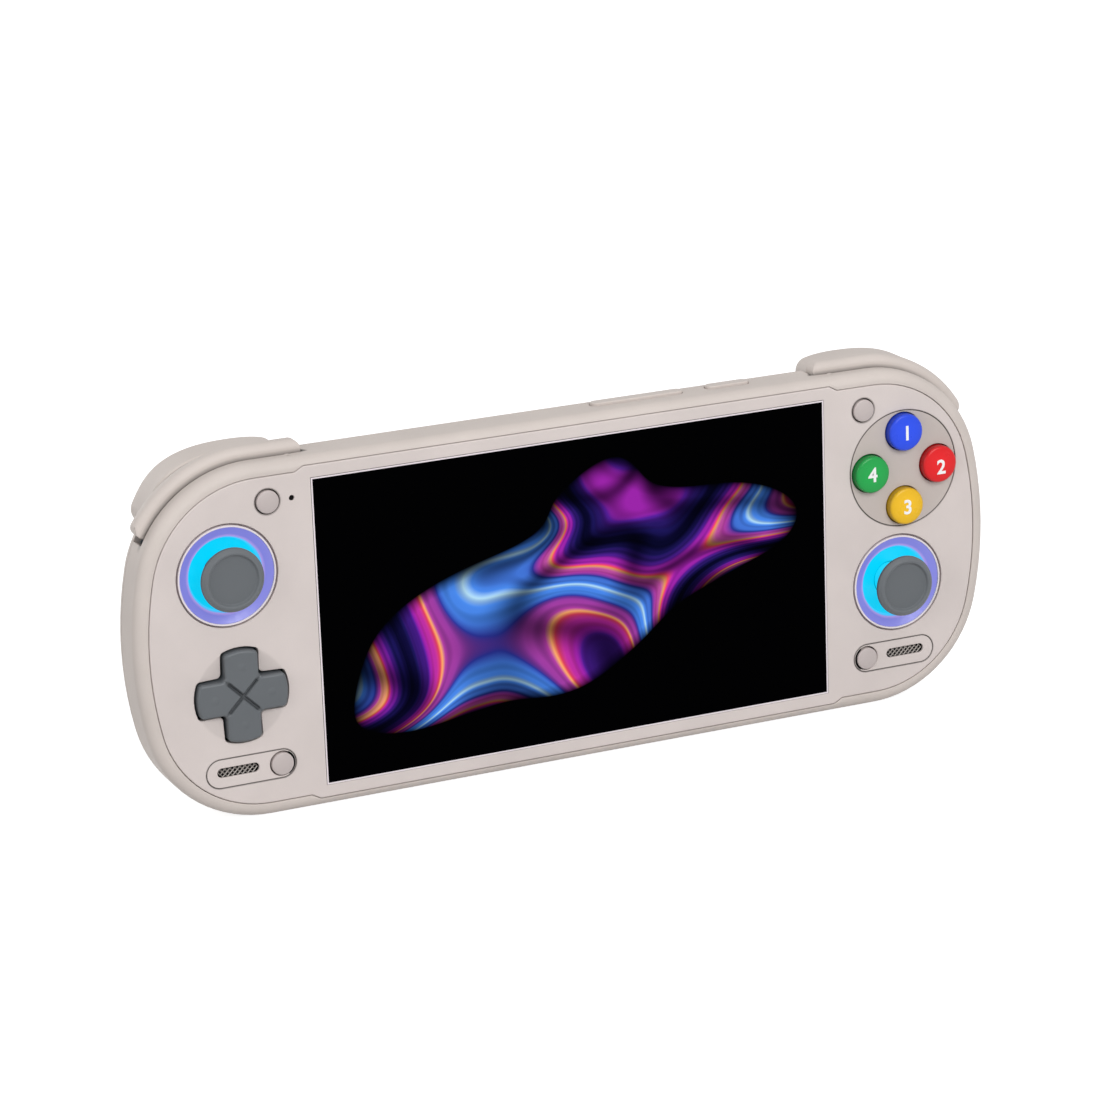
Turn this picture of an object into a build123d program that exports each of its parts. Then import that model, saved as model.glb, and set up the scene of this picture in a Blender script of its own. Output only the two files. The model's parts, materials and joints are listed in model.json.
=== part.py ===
from build123d import *
import os
from math import cos, radians, sin, sqrt, tan

os.makedirs("parts", exist_ok=True)

# A handheld game console, standing upright on its bottom edge.
# +X runs to the right of the player, +Y into the back and +Z up to the shoulder side.
# The origin lies on the flat bottom edge, halfway through the case.
# Depths are measured from the face backwards, and places on the face from the screen's centre.

# General clearances
overrun = 2.0
seam_gap = 0.12
fit_gap = 0.06
rest_gap = 0.3
sides = {"left": -1, "right": 1}

# Screen, a 5.5-inch panel that sets the scale
screen_width = 121.78
screen_height = 68.5
glass_step = 0.1
glass_thickness = 1.0
panel_border = 0.9

# Case, sized by the margins round the screen and beside the button disc
screen_margin = 4.85
disc_end_margin = 7.71
case_depth = 14.0
case_wall = 1.8
corner_radius = 27.1
end_radius = 83.1
front_edge_radius = 2.5
rear_edge_radius = 4.9
parting_depth = 9.0

# Front plate, let into the front frame
plate_margin = 3.1
plate_thickness = 1.6
plate_edge_radius = 0.2
band_reach = 1.61
band_rise = 1.1
band_ramp = 2.0
ledge_width = 1.5
ledge_depth = 2.8
pad_radius = 12.6
pad_depth = 2.2

# Sticks, placed outwards from the screen's sides
stick_steps = {"left": 19.81, "right": 18.21}
stick_heights = {"left": 15.83, "right": -10.82}
stick_hole_radius = 11.4
bezel_radius = 10.95
bezel_wall = 0.4
bezel_flange = 1.2
bezel_flange_thickness = 0.6
light_outer_depth = 0.25
light_inner_radius = 8.2
light_inner_depth = 1.3
light_step = 0.9
light_bowl_radius = 4.15
light_bowl_depth = 3.45
light_floor_radius = 4.75
light_floor_depth = 4.4
pivot_depth = 6.9
cap_radius = 7.0
cap_middle_rise = 3.2
cap_rim_rise = 4.3
cap_dish_rise = 3.6
cap_dish_radius = 5.3
cap_rim_width = 0.9
cap_edge_height = 0.7
cap_under_rise = 2.2
cap_under_radius = 6.2
cap_neck_radius = 2.4
cap_neck_flare = 0.4
dome_radius = 5.0
dome_wall = 0.6
dome_half_angle = 52.0
dome_middle_share = 0.8
socket_radius = 1.9
shaft_radius = 1.1
shaft_tail = 2.4
shaft_head_rise = 1.5
cradle_radius = 2.1
cradle_length = 6.0
cradle_pin_radius = 0.6
ring_radius = 5.2
ring_bore = 4.2
ring_thickness = 2.0
ring_pin_radius = 0.8
housing_size = 16.0
housing_wall = 1.4
housing_corner = 1.5
housing_floor = 1.2
housing_below_pivot = 3.7
housing_lip = 0.8
click_travel = 0.4

# Face buttons in their round disc
disc_gap = 6.61
disc_height = 15.83
disc_radius = 13.37
disc_flange = 0.6
face_button_offset = 8.6
face_button_radius = 4.25
face_button_gap = 0.2
face_button_rise = 1.8
face_button_dome = 0.35
face_button_round = 0.7
face_button_travel = 1.3
flange_step = 0.7
flange_thickness = 0.8
face_stem_radius = 2.8
face_button_steps = {"top": (0, 1), "right": (1, 0), "bottom": (0, -1), "left": (-1, 0)}

# D-pad
dpad_step = 18.21
dpad_height = -10.8
dpad_size = 20.4
dpad_arm = 7.6
dpad_corner = 1.0
dpad_rise = 1.2
dpad_top_round = 0.7
dpad_gap = 0.5
dpad_dish_radius = 10.45
dpad_dish_depth = 0.9
dpad_groove_width = 0.5
dpad_groove_depth = 0.3
dpad_groove_length = 9.0
dpad_flange_radius = 8.0
dpad_flange_depth = 3.2
dpad_flange_thickness = 0.6
dpad_pivot_depth = 4.6
dpad_ball_radius = 1.1
dpad_stem_radius = 2.2
dpad_post_radius = 2.0
dpad_belt = 0.25
dpad_foot_radius = 1.5
dpad_foot_offset = 6.0

# Small round buttons: menu buttons above, one beside each speaker below
small_button_radius = 2.5
small_button_gap = 0.3
small_button_rise = 0.5
small_button_dome = 0.3
small_button_round = 0.3
small_button_travel = 0.6
small_flange_step = 0.6
small_stem_radius = 1.4
small_stem_depth = 5.0
small_button_step = 10.01
menu_drop = 8.5

# Pill-shaped speaker plates
pill_step = 17.01
pill_lift = 11.5
pill_length = 20.2
pill_height = 6.3
slot_step = 2.95
slot_rise = 0.15
slot_length = 9.5
slot_height = 2.15
mesh_depth = 0.6
mesh_thickness = 0.4
mesh_border = 0.5
speaker_length = 15.0
speaker_height = 7.0
speaker_depth = 3.6

# Status light
light_step_out = 4.51
light_radius = 0.6
light_recess = 0.3
light_length = 2.2

# Keys on the top edge
key_width = 2.8
key_depth = 7.0
key_rise = 0.6
key_gap = 0.15
key_flange = 0.8
key_flange_thickness = 0.8
key_round = 0.25
volume_step = 42.54
volume_length = 22.1
power_step = 20.39
power_length = 10.4
key_travel = 0.4
key_tilt = 1.8

# Bumpers
shoulder_step = 0.11
shoulder_end_angle = 29.0
notch_angle = 3.0
bumper_front = 4.9
bumper_rear = 8.6
bumper_proud = 2.6
bumper_inset = 2.5
bumper_front_round = 1.8
bumper_rear_round = 1.1
bumper_end_round = 2.2
bay_front = 4.7
bumper_pin_step = 3.6
bumper_pin_drop = 1.5
bumper_pin_radius = 0.8
bumper_lug_radius = 1.7
bumper_pin_head = 1.3
bumper_pin_head_thickness = 0.3
bumper_pin_root = 1.6

# Triggers, which stand out by shares of one size at angles round the corner
trigger_proud = 2.5
trigger_step = 2.0
trigger_start_share = 0.08
trigger_ramp_step = 6.0
trigger_ramp_share = 0.50
trigger_angles = [90.0, 70.0, 55.0, 45.0, 33.5]
trigger_proud_shares = [0.66, 0.92, 0.96, 0.58, 0.06]
trigger_notch_angle = 2.0
trigger_front = 9.3
trigger_rear = 19.5
trigger_inset = 1.0
trigger_skirt_inset = 5.5
trigger_end_wall = 2.0
trigger_end_wall_angle = 4.5
trigger_end_round = 3.2
trigger_back_wall = 2.6
trigger_front_round = 0.6
trigger_rear_round = 3.0
trigger_pivot_depth = 12.3
trigger_pivot_drop = 4.5
trigger_hub_radius = 1.7
trigger_hub_step = 5.5
trigger_hub_length = 7.5
trigger_pin_radius = 1.0
trigger_pin_step = 0.2
trigger_travel = 13.0
bay_inset = 6.6
bay_wall = 1.5
bay_wall_angle = 3.4
ear_step = 16.8
ear_thickness = 1.6
ear_radius = 1.7
spring_radius = 1.45
spring_wire_radius = 0.2
spring_pitch = 0.65
spring_step = 13.3
spring_length = 3.1

# Palm swells, vents and screws of the rear cover
swell_step = 12.11
swell_lift = -5.0
swell_width = 40.0
swell_height = 52.0
swell_corner = 17.0
swell_depth = 20.0
swell_taper = 34.0
swell_round = 4.5
swell_root = 1.0
vent_count = 9
vent_pitch = 4.4
vent_width = 1.4
vent_length = 18.0
vent_step = 30.89
vent_height = 3.0
side_screw_margin = 5.95
side_screw_height = 2.5
top_screw_step = -2.39
top_screw_drop = 5.2
base_screw_step = 3.61
base_screw_lift = 5.9
boss_radius = 2.4
screw_radius = 0.95
screw_clearance_radius = 1.15
screw_head_radius = 1.85
screw_head_height = 1.0
screw_well_radius = 2.1
screw_well_depth = 1.2
screw_bite = 4.5

# Boards, battery and ports
mid_frame_thickness = 0.8
mid_frame_reach = 1.11
battery_side_margin = 2.89
battery_board_gap = 2.0
battery_margin = 8.1
battery_thickness = 5.6
battery_corner = 2.0
main_board_key_margin = 1.3
main_board_side_margin = 5.19
main_board_margin = 5.6
main_board_depth = 7.3
board_thickness = 1.0
key_switch_height = 1.6
heat_spreader_length = 42.0
heat_spreader_height = 46.0
heat_spreader_thickness = 1.2
side_board_step = 2.51
side_board_side_margin = 11.45
side_board_margin = 7.1
side_board_depth = 6.6
side_board_corner = 9.0
membrane_thickness = 0.6
membrane_dome_height = 0.45
switch_size = 3.0
usb_step = 40.89
usb_width = 8.94
usb_height = 3.26
usb_length = 7.3
usb_wall = 0.3
usb_tongue_thickness = 0.7
usb_tongue_width = 6.6
usb_tongue_recess = 0.8
jack_step = 24.89
jack_bore_radius = 1.8
jack_barrel_radius = 2.1
jack_body_width = 6.4
jack_length = 13.0
jack_back = 1.5
card_step = 11.89
card_width = 11.6
card_thickness = 1.5
card_length = 12.0
card_slot_gap = 0.3
port_recess = 0.1
port_gap = 0.15

# Values that follow from the ones above
screen_side = screen_width / 2
case_half_length = screen_side + disc_gap + 2 * disc_radius + disc_end_margin
case_half_height = screen_height / 2 + screen_margin
face_y = -case_depth / 2
centre_height = case_half_height
band_half_length = screen_side + band_reach
stick_places = {
    "left": (-screen_side - stick_steps["left"], stick_heights["left"]),
    "right": (screen_side + stick_steps["right"], stick_heights["right"]),
}
disc_place = (screen_side + disc_gap + disc_radius, disc_height)
dpad_place = (-screen_side - dpad_step, dpad_height)
menu_place = (screen_side + small_button_step, case_half_height - menu_drop)
light_place = (-screen_side - light_step_out, case_half_height - menu_drop)
pill_place = (screen_side + pill_step, pill_lift - case_half_height)
pill_button_place = (screen_side + small_button_step, pill_lift - case_half_height)
slot_place = (pill_place[0] + slot_step, pill_place[1] + slot_rise)
volume_middle = screen_side - volume_step
power_middle = screen_side - power_step
shoulder_start = screen_side + shoulder_step
bumper_pin_place = (shoulder_start + bumper_pin_step, case_half_height - bumper_pin_drop)
trigger_start = shoulder_start + trigger_step
trigger_pivot_height = case_half_height - trigger_pivot_drop
trigger_hub_start = shoulder_start + trigger_hub_step
trigger_hub_end = trigger_hub_start + trigger_hub_length
trigger_pin_start = shoulder_start + trigger_pin_step
trigger_end_angle = trigger_angles[-1]
trigger_bay_end_angle = trigger_end_angle - trigger_notch_angle
ear_start = shoulder_start + ear_step
spring_start = shoulder_start + spring_step
swell_place = (screen_side + swell_step, swell_lift)
vent_place = (screen_side - vent_step, vent_height)
screw_places = [
    (case_half_length - side_screw_margin, side_screw_height),
    (screen_side + top_screw_step, case_half_height - top_screw_drop),
    (screen_side + base_screw_step, base_screw_lift - case_half_height),
]
mid_frame_half_length = screen_side + mid_frame_reach
main_board_start = volume_middle - volume_length / 2 - main_board_key_margin
battery_end_x = main_board_start - battery_board_gap
battery_length = battery_end_x + screen_side - battery_side_margin
battery_height = 2 * (case_half_height - battery_margin)
battery_place = (battery_end_x - battery_length / 2, 0)
main_board_end = screen_side - main_board_side_margin
main_board_half_height = case_half_height - main_board_margin
side_board_start = screen_side + side_board_step
side_board_end = case_half_length - side_board_side_margin
side_board_half_height = case_half_height - side_board_margin
usb_place = screen_side - usb_step
jack_place = screen_side - jack_step
card_place = screen_side - card_step
corner_centre_y = case_half_height - corner_radius
end_centre_x = case_half_length - end_radius
corner_centre_x = end_centre_x + sqrt((end_radius - corner_radius) ** 2 - corner_centre_y ** 2)
light_outer_radius = bezel_radius - bezel_wall - fit_gap
panel_depth = glass_step + glass_thickness
mid_frame_depth = ledge_depth
battery_depth = mid_frame_depth + mid_frame_thickness
membrane_depth = side_board_depth - membrane_thickness
rear_inner_depth = case_depth - case_wall
bay_end_angle = shoulder_end_angle - notch_angle
face_flange_depth = plate_thickness + flange_step
face_stem_depth = membrane_depth - membrane_dome_height - face_button_travel - rest_gap
small_flange_depth = plate_thickness + rest_gap
mid_frame_half_height = case_half_height - case_wall - rest_gap
wall_inside = 2 * case_half_height - case_wall
usb_depth = main_board_depth - usb_height / 2
jack_depth = main_board_depth - jack_barrel_radius
card_depth = main_board_depth - card_thickness / 2


def front_plane(depth):
    """A plane parallel to the face at a depth, seen from the front."""
    return Plane(origin=(0, face_y + depth, centre_height), x_dir=(1, 0, 0), z_dir=(0, -1, 0))


def turning_plane(place):
    """A plane through a button's axis: its x is the radius and its y the depth."""
    origin = (place[0], face_y, centre_height + place[1])
    return Plane(origin=origin, x_dir=(1, 0, 0), z_dir=(0, 0, 1))


def turning_axis(place):
    """The axis of a round piece, running straight back from the face."""
    return Axis((place[0], face_y, centre_height + place[1]), (0, 1, 0))


def side_plane(x):
    """A plane across the case at x: its x is the depth and its y the height."""
    return Plane(origin=(x, face_y, centre_height), x_dir=(0, 1, 0), z_dir=(1, 0, 0))


def base_plane(height):
    """A plane parallel to the bottom edge: its x runs along the case and its y is the depth."""
    return Plane(origin=(0, face_y, height), x_dir=(1, 0, 0), z_dir=(0, 0, 1))


def case_outline(inset):
    """The case's outline, drawn in by an inset."""
    half_height = case_half_height - inset
    join_share = (end_radius - inset) / (end_radius - corner_radius)
    join_x = end_centre_x + (corner_centre_x - end_centre_x) * join_share
    join_y = corner_centre_y * join_share
    with BuildSketch() as outline:
        with BuildLine():
            Line((-corner_centre_x, half_height), (corner_centre_x, half_height))
            Line((-corner_centre_x, -half_height), (corner_centre_x, -half_height))
            for side in sides.values():
                top = (side * corner_centre_x, half_height)
                upper = TangentArc(top, (side * join_x, join_y), tangent=(side, 0))
                end = TangentArc(upper @ 1, (side * join_x, -join_y), tangent=upper % 1)
                TangentArc(end @ 1, (side * corner_centre_x, -half_height), tangent=end % 1)
        make_face()
    return outline.sketch_local


def plate_outline(inset):
    """The front plate's outline with its slightly taller middle band."""
    half_height = case_half_height - plate_margin - inset
    band_foot = band_half_length + band_ramp
    with BuildSketch() as outline:
        add(case_outline(plate_margin + inset))
        with BuildLine():
            Polyline(
                (-band_foot, half_height),
                (-band_half_length, half_height + band_rise),
                (band_half_length, half_height + band_rise),
                (band_foot, half_height),
                (band_foot, -half_height),
                (band_half_length, -half_height - band_rise),
                (-band_half_length, -half_height - band_rise),
                (-band_foot, -half_height),
                close=True,
            )
        make_face()
    return outline.sketch_local


def shoulder_sector(side, start, end_angle):
    """The shoulder's stretch of the outline: from a start on the top edge round the corner."""
    reach = corner_radius + overrun + bumper_proud
    end_x = corner_centre_x + reach * cos(radians(end_angle))
    end_y = corner_centre_y + reach * sin(radians(end_angle))
    with BuildSketch() as sector:
        with BuildLine():
            Polyline(
                (side * start, corner_centre_y),
                (side * corner_centre_x, corner_centre_y),
                (side * end_x, end_y),
                (side * end_x, corner_centre_y + reach),
                (side * start, corner_centre_y + reach),
                close=True,
            )
        make_face()
    return sector.sketch_local


def bumper_outline(side):
    """A bumper's outline with its outer corners rounded."""
    outer_radius = corner_radius + bumper_proud
    end_x = corner_centre_x + outer_radius * cos(radians(shoulder_end_angle))
    end_y = corner_centre_y + outer_radius * sin(radians(shoulder_end_angle))
    top = (side * shoulder_start, case_half_height + bumper_proud)
    with BuildSketch() as outline:
        add(case_outline(-bumper_proud))
        add(shoulder_sector(side, shoulder_start, shoulder_end_angle), mode=Mode.INTERSECT)
        for corner in (top, (side * end_x, end_y)):
            fillet(outline.vertices().sort_by_distance(corner)[0], bumper_end_round)
    return outline.sketch_local


def trigger_outline(side):
    """A trigger's outline: a curve that swells out of the case's corner and sinks back at both ends."""
    ramp_x = shoulder_start + trigger_ramp_step
    points = [
        (side * trigger_start, case_half_height + trigger_proud * trigger_start_share),
        (side * ramp_x, case_half_height + trigger_proud * trigger_ramp_share),
    ]
    for angle, share in zip(trigger_angles, trigger_proud_shares):
        reach = corner_radius + trigger_proud * share
        curve_x = corner_centre_x + reach * cos(radians(angle))
        curve_y = corner_centre_y + reach * sin(radians(angle))
        points.append((side * curve_x, curve_y))
    with BuildSketch() as outline:
        with BuildLine():
            Spline(*points)
            Polyline(
                points[-1],
                (side * corner_centre_x, corner_centre_y),
                (side * trigger_start, corner_centre_y),
                points[0],
            )
        make_face()
    return outline.sketch_local


def cross_outline(grow):
    """The D-pad's cross with rounded corners, grown all round."""
    size = dpad_size + 2 * grow
    arm = dpad_arm + 2 * grow
    with BuildSketch() as cross:
        Rectangle(size, arm)
        Rectangle(arm, size)
        Circle(size / 2, mode=Mode.INTERSECT)
        fillet(cross.vertices(), dpad_corner)
    return cross.sketch_local


def keep(piece, label):
    """Labels a finished piece and writes it to its own file."""
    piece.part.label = label
    export_step(piece.part, f"parts/{label}.step")


# Front frame
with BuildPart() as front_frame:
    with BuildSketch(front_plane(0)):
        add(case_outline(0))
    extrude(amount=-parting_depth)
    fillet(front_frame.edges().group_by(Axis.Y)[0], front_edge_radius)
    with BuildSketch(front_plane(0)):
        add(plate_outline(-seam_gap))
    extrude(amount=-plate_thickness, mode=Mode.SUBTRACT)
    with BuildSketch(front_plane(plate_thickness)):
        add(plate_outline(ledge_width))
    extrude(amount=plate_thickness - ledge_depth, mode=Mode.SUBTRACT)
    with BuildSketch(front_plane(ledge_depth)):
        add(case_outline(case_wall))
    extrude(amount=ledge_depth - parting_depth, mode=Mode.SUBTRACT)
    for side in sides.values():
        for place in screw_places:
            with BuildSketch(front_plane(ledge_depth)):
                with Locations((side * place[0], place[1])):
                    Circle(boss_radius)
            extrude(amount=ledge_depth - parting_depth)
            with BuildSketch(front_plane(parting_depth)):
                with Locations((side * place[0], place[1])):
                    Circle(screw_radius)
            extrude(amount=screw_bite, mode=Mode.SUBTRACT)
        with BuildSketch(front_plane(ledge_depth)):
            with Locations((side * bumper_pin_place[0], bumper_pin_place[1])):
                Circle(bumper_lug_radius - fit_gap)
        extrude(amount=ledge_depth - bay_front)
        with BuildSketch(front_plane(bay_front)):
            add(case_outline(-overrun))
            add(shoulder_sector(side, shoulder_start - rest_gap, bay_end_angle), mode=Mode.INTERSECT)
            add(case_outline(bumper_inset + case_wall), mode=Mode.SUBTRACT)
        extrude(amount=bay_front - parting_depth, mode=Mode.SUBTRACT)
        with BuildSketch(front_plane(bay_front)):
            with Locations((side * bumper_pin_place[0], bumper_pin_place[1])):
                Circle(bumper_pin_radius)
        extrude(amount=bumper_pin_root, mode=Mode.SUBTRACT)
    for middle, length in ((volume_middle, volume_length), (power_middle, power_length)):
        with BuildSketch(base_plane(2 * case_half_height)):
            with Locations((middle, key_depth)):
                SlotOverall(length + 2 * key_gap, key_width + 2 * key_gap)
        extrude(amount=-case_wall - overrun, mode=Mode.SUBTRACT)
    with BuildSketch(base_plane(0)):
        with Locations((usb_place, usb_depth)):
            SlotOverall(usb_width + 2 * port_gap, usb_height + 2 * port_gap)
        with Locations((jack_place, jack_depth)):
            Circle(jack_barrel_radius + port_gap)
        with Locations((card_place, card_depth)):
            Rectangle(card_width + 2 * card_slot_gap, card_thickness + 2 * card_slot_gap)
    extrude(amount=case_wall + overrun, mode=Mode.SUBTRACT)
keep(front_frame, "front_frame")

# Front plate
with BuildPart() as front_plate:
    with BuildSketch(front_plane(0)):
        add(plate_outline(0))
    extrude(amount=-plate_thickness)
    chamfer(front_plate.edges().group_by(Axis.Y)[0], plate_edge_radius)
    with BuildSketch(front_plane(plate_thickness)):
        with Locations(dpad_place):
            Circle(pad_radius)
    extrude(amount=plate_thickness - pad_depth)
    with BuildSketch(front_plane(0)):
        Rectangle(screen_width + 2 * seam_gap, screen_height + 2 * seam_gap)
        for place in stick_places.values():
            with Locations(place):
                Circle(stick_hole_radius)
        with Locations(disc_place):
            Circle(disc_radius + seam_gap)
        with Locations(light_place):
            Circle(light_radius)
        for side in sides.values():
            with Locations((side * menu_place[0], menu_place[1])):
                Circle(small_button_radius + small_button_gap)
            with Locations((side * pill_place[0], pill_place[1])):
                SlotOverall(pill_length + 2 * seam_gap, pill_height + 2 * seam_gap)
    extrude(amount=-pad_depth, mode=Mode.SUBTRACT)
    dish_radius = (dpad_dish_radius ** 2 + dpad_dish_depth ** 2) / (2 * dpad_dish_depth)
    dish_y = face_y + dpad_dish_depth - dish_radius
    with Locations((dpad_place[0], dish_y, centre_height + dpad_place[1])):
        Sphere(dish_radius, mode=Mode.SUBTRACT)
    with BuildSketch(front_plane(0)):
        with Locations(dpad_place):
            add(cross_outline(dpad_gap))
    extrude(amount=-pad_depth, mode=Mode.SUBTRACT)
keep(front_plate, "front_plate")

# Display glass, display panel and the mid frame that carries them
with BuildPart() as display_glass:
    with BuildSketch(front_plane(glass_step)):
        Rectangle(screen_width, screen_height)
    extrude(amount=-glass_thickness)
keep(display_glass, "display_glass")

with BuildPart() as display_panel:
    with BuildSketch(front_plane(panel_depth)):
        Rectangle(screen_width - 2 * panel_border, screen_height - 2 * panel_border)
    extrude(amount=panel_depth - mid_frame_depth)
keep(display_panel, "display_panel")

with BuildPart() as mid_frame:
    with BuildSketch(front_plane(mid_frame_depth)):
        Rectangle(2 * mid_frame_half_length, 2 * mid_frame_half_height)
        for side in sides.values():
            for place in screw_places:
                with Locations((side * place[0], place[1])):
                    Circle(boss_radius + rest_gap, mode=Mode.SUBTRACT)
        with Locations((jack_place, -mid_frame_half_height)):
            notch_width = jack_body_width + 2 * rest_gap
            notch_height = jack_length + jack_back + rest_gap
            Rectangle(notch_width, 2 * notch_height, mode=Mode.SUBTRACT)
    extrude(amount=-mid_frame_thickness)
keep(mid_frame, "mid_frame")

# Button disc with its four holes
with BuildPart() as button_disc:
    with BuildSketch(front_plane(0)):
        with Locations(disc_place):
            Circle(disc_radius)
            for step in face_button_steps.values():
                with Locations((step[0] * face_button_offset, step[1] * face_button_offset)):
                    Circle(face_button_radius + face_button_gap, mode=Mode.SUBTRACT)
    extrude(amount=-plate_thickness)
    with BuildSketch(front_plane(plate_thickness)):
        with Locations(disc_place):
            Circle(disc_radius + disc_flange)
            for step in face_button_steps.values():
                with Locations((step[0] * face_button_offset, step[1] * face_button_offset)):
                    Circle(face_button_radius + face_button_gap, mode=Mode.SUBTRACT)
    extrude(amount=-flange_step)
keep(button_disc, "button_disc")


def round_button(place, radius, rise, dome, edge, flange_reach, flange_top, stem_radius, stem_depth):
    """A button turned about its axis: domed top, straight side, retaining flange and stem."""
    flange_radius = radius + flange_reach
    flange_bottom = flange_top + flange_thickness
    with BuildPart() as button:
        with BuildSketch(turning_plane(place)) as profile:
            with BuildLine():
                crown = TangentArc((0, -rise - dome), (radius, -rise), tangent=(1, 0))
                Polyline(
                    crown @ 1,
                    (radius, flange_top),
                    (flange_radius, flange_top),
                    (flange_radius, flange_bottom),
                    (stem_radius, flange_bottom),
                    (stem_radius, stem_depth),
                    (0, stem_depth),
                    (0, -rise - dome),
                )
            make_face()
            fillet(profile.vertices().sort_by_distance((radius, -rise))[0], edge)
        revolve(axis=turning_axis(place))
    return button


# Face buttons, under the disc's holes
for step_name, step in face_button_steps.items():
    button_place = (
        disc_place[0] + step[0] * face_button_offset,
        disc_place[1] + step[1] * face_button_offset,
    )
    face_button = round_button(
        button_place,
        face_button_radius,
        face_button_rise,
        face_button_dome,
        face_button_round,
        flange_step,
        face_flange_depth,
        face_stem_radius,
        face_stem_depth,
    )
    keep(face_button, f"face_button_{step_name}")

# Membranes that the buttons and the D-pad press on
with BuildPart() as button_membrane:
    with BuildSketch(front_plane(membrane_depth)):
        with Locations(disc_place):
            Circle(disc_radius - disc_flange)
    extrude(amount=-membrane_thickness)
    with BuildSketch(front_plane(membrane_depth)):
        with Locations(disc_place):
            for step in face_button_steps.values():
                with Locations((step[0] * face_button_offset, step[1] * face_button_offset)):
                    Circle(face_stem_radius)
    extrude(amount=membrane_dome_height)
keep(button_membrane, "button_membrane")

with BuildPart() as dpad_membrane:
    with BuildSketch(front_plane(membrane_depth)):
        with Locations(dpad_place):
            Circle(dpad_size / 2)
            Circle(dpad_post_radius + rest_gap, mode=Mode.SUBTRACT)
    extrude(amount=-membrane_thickness)
    with BuildSketch(front_plane(membrane_depth)):
        with Locations(dpad_place):
            for step in face_button_steps.values():
                with Locations((step[0] * dpad_foot_offset, step[1] * dpad_foot_offset)):
                    Circle(dpad_foot_radius)
    extrude(amount=membrane_dome_height)
keep(dpad_membrane, "dpad_membrane")

# D-pad: cross, retaining flange and the stem whose cup rides on the pivot ball
with BuildPart() as dpad:
    with BuildSketch(front_plane(-dpad_rise)):
        with Locations(dpad_place):
            add(cross_outline(0))
    extrude(amount=-dpad_rise - dpad_flange_depth)
    fillet(dpad.edges().group_by(Axis.Y)[0], dpad_top_round)
    with BuildSketch(front_plane(-dpad_rise)):
        with Locations(dpad_place):
            for turn in (45, 135):
                Rectangle(dpad_groove_length, dpad_groove_width, rotation=turn)
    extrude(amount=-dpad_groove_depth, mode=Mode.SUBTRACT)
    with BuildSketch(front_plane(dpad_flange_depth)):
        with Locations(dpad_place):
            Circle(dpad_flange_radius)
    extrude(amount=-dpad_flange_thickness)
    stem_end = dpad_pivot_depth - dpad_belt
    with BuildSketch(front_plane(dpad_flange_depth)):
        with Locations(dpad_place):
            Circle(dpad_stem_radius)
    extrude(amount=dpad_flange_depth - stem_end)
    with Locations((dpad_place[0], face_y + dpad_pivot_depth, centre_height + dpad_place[1])):
        Sphere(dpad_ball_radius + fit_gap, mode=Mode.SUBTRACT)
keep(dpad, "dpad")

with BuildPart() as dpad_ball:
    with Locations((dpad_place[0], face_y + dpad_pivot_depth, centre_height + dpad_place[1])):
        Sphere(dpad_ball_radius)
keep(dpad_ball, "dpad_ball")

# Small round buttons
small_buttons = {"menu": menu_place, "speaker": pill_button_place}
for button_name, place in small_buttons.items():
    for side_name, side in sides.items():
        small_button = round_button(
            (side * place[0], place[1]),
            small_button_radius,
            small_button_rise,
            small_button_dome,
            small_button_round,
            small_flange_step,
            small_flange_depth,
            small_stem_radius,
            small_stem_depth,
        )
        keep(small_button, f"{button_name}_button_{side_name}")

# Speaker plates, their meshes and the speakers behind them
for side_name, side in sides.items():
    with BuildPart() as speaker_plate:
        with BuildSketch(front_plane(0)):
            with Locations((side * pill_place[0], pill_place[1])):
                SlotOverall(pill_length, pill_height)
            with Locations((side * pill_button_place[0], pill_button_place[1])):
                Circle(small_button_radius + small_button_gap, mode=Mode.SUBTRACT)
            with Locations((side * slot_place[0], slot_place[1])):
                SlotOverall(slot_length, slot_height, mode=Mode.SUBTRACT)
        extrude(amount=-plate_thickness)
        chamfer(speaker_plate.edges().group_by(Axis.Y)[0], plate_edge_radius / 2)
        with BuildSketch(front_plane(mesh_depth)):
            with Locations((side * slot_place[0], slot_place[1])):
                SlotOverall(slot_length + 2 * mesh_border, slot_height + 2 * mesh_border)
        extrude(amount=mesh_depth - plate_thickness, mode=Mode.SUBTRACT)
    keep(speaker_plate, f"speaker_plate_{side_name}")

    with BuildPart() as speaker_mesh:
        with BuildSketch(front_plane(mesh_depth)):
            with Locations((side * slot_place[0], slot_place[1])):
                SlotOverall(
                    slot_length + 2 * mesh_border - 2 * fit_gap,
                    slot_height + 2 * mesh_border - 2 * fit_gap,
                )
        extrude(amount=-mesh_thickness)
    keep(speaker_mesh, f"speaker_mesh_{side_name}")

    with BuildPart() as speaker:
        with BuildSketch(front_plane(ledge_depth)):
            with Locations((side * slot_place[0], slot_place[1])):
                RectangleRounded(speaker_length, speaker_height, housing_corner)
            with Locations((side * pill_button_place[0], pill_button_place[1])):
                flange_hole = small_button_radius + small_flange_step + rest_gap
                Circle(flange_hole, mode=Mode.SUBTRACT)
        extrude(amount=-speaker_depth)
    keep(speaker, f"speaker_{side_name}")

# Status light
with BuildPart() as status_light:
    with BuildSketch(front_plane(light_recess)):
        with Locations(light_place):
            Circle(light_radius - fit_gap)
    extrude(amount=light_recess - light_length)
keep(status_light, "status_light")

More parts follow.
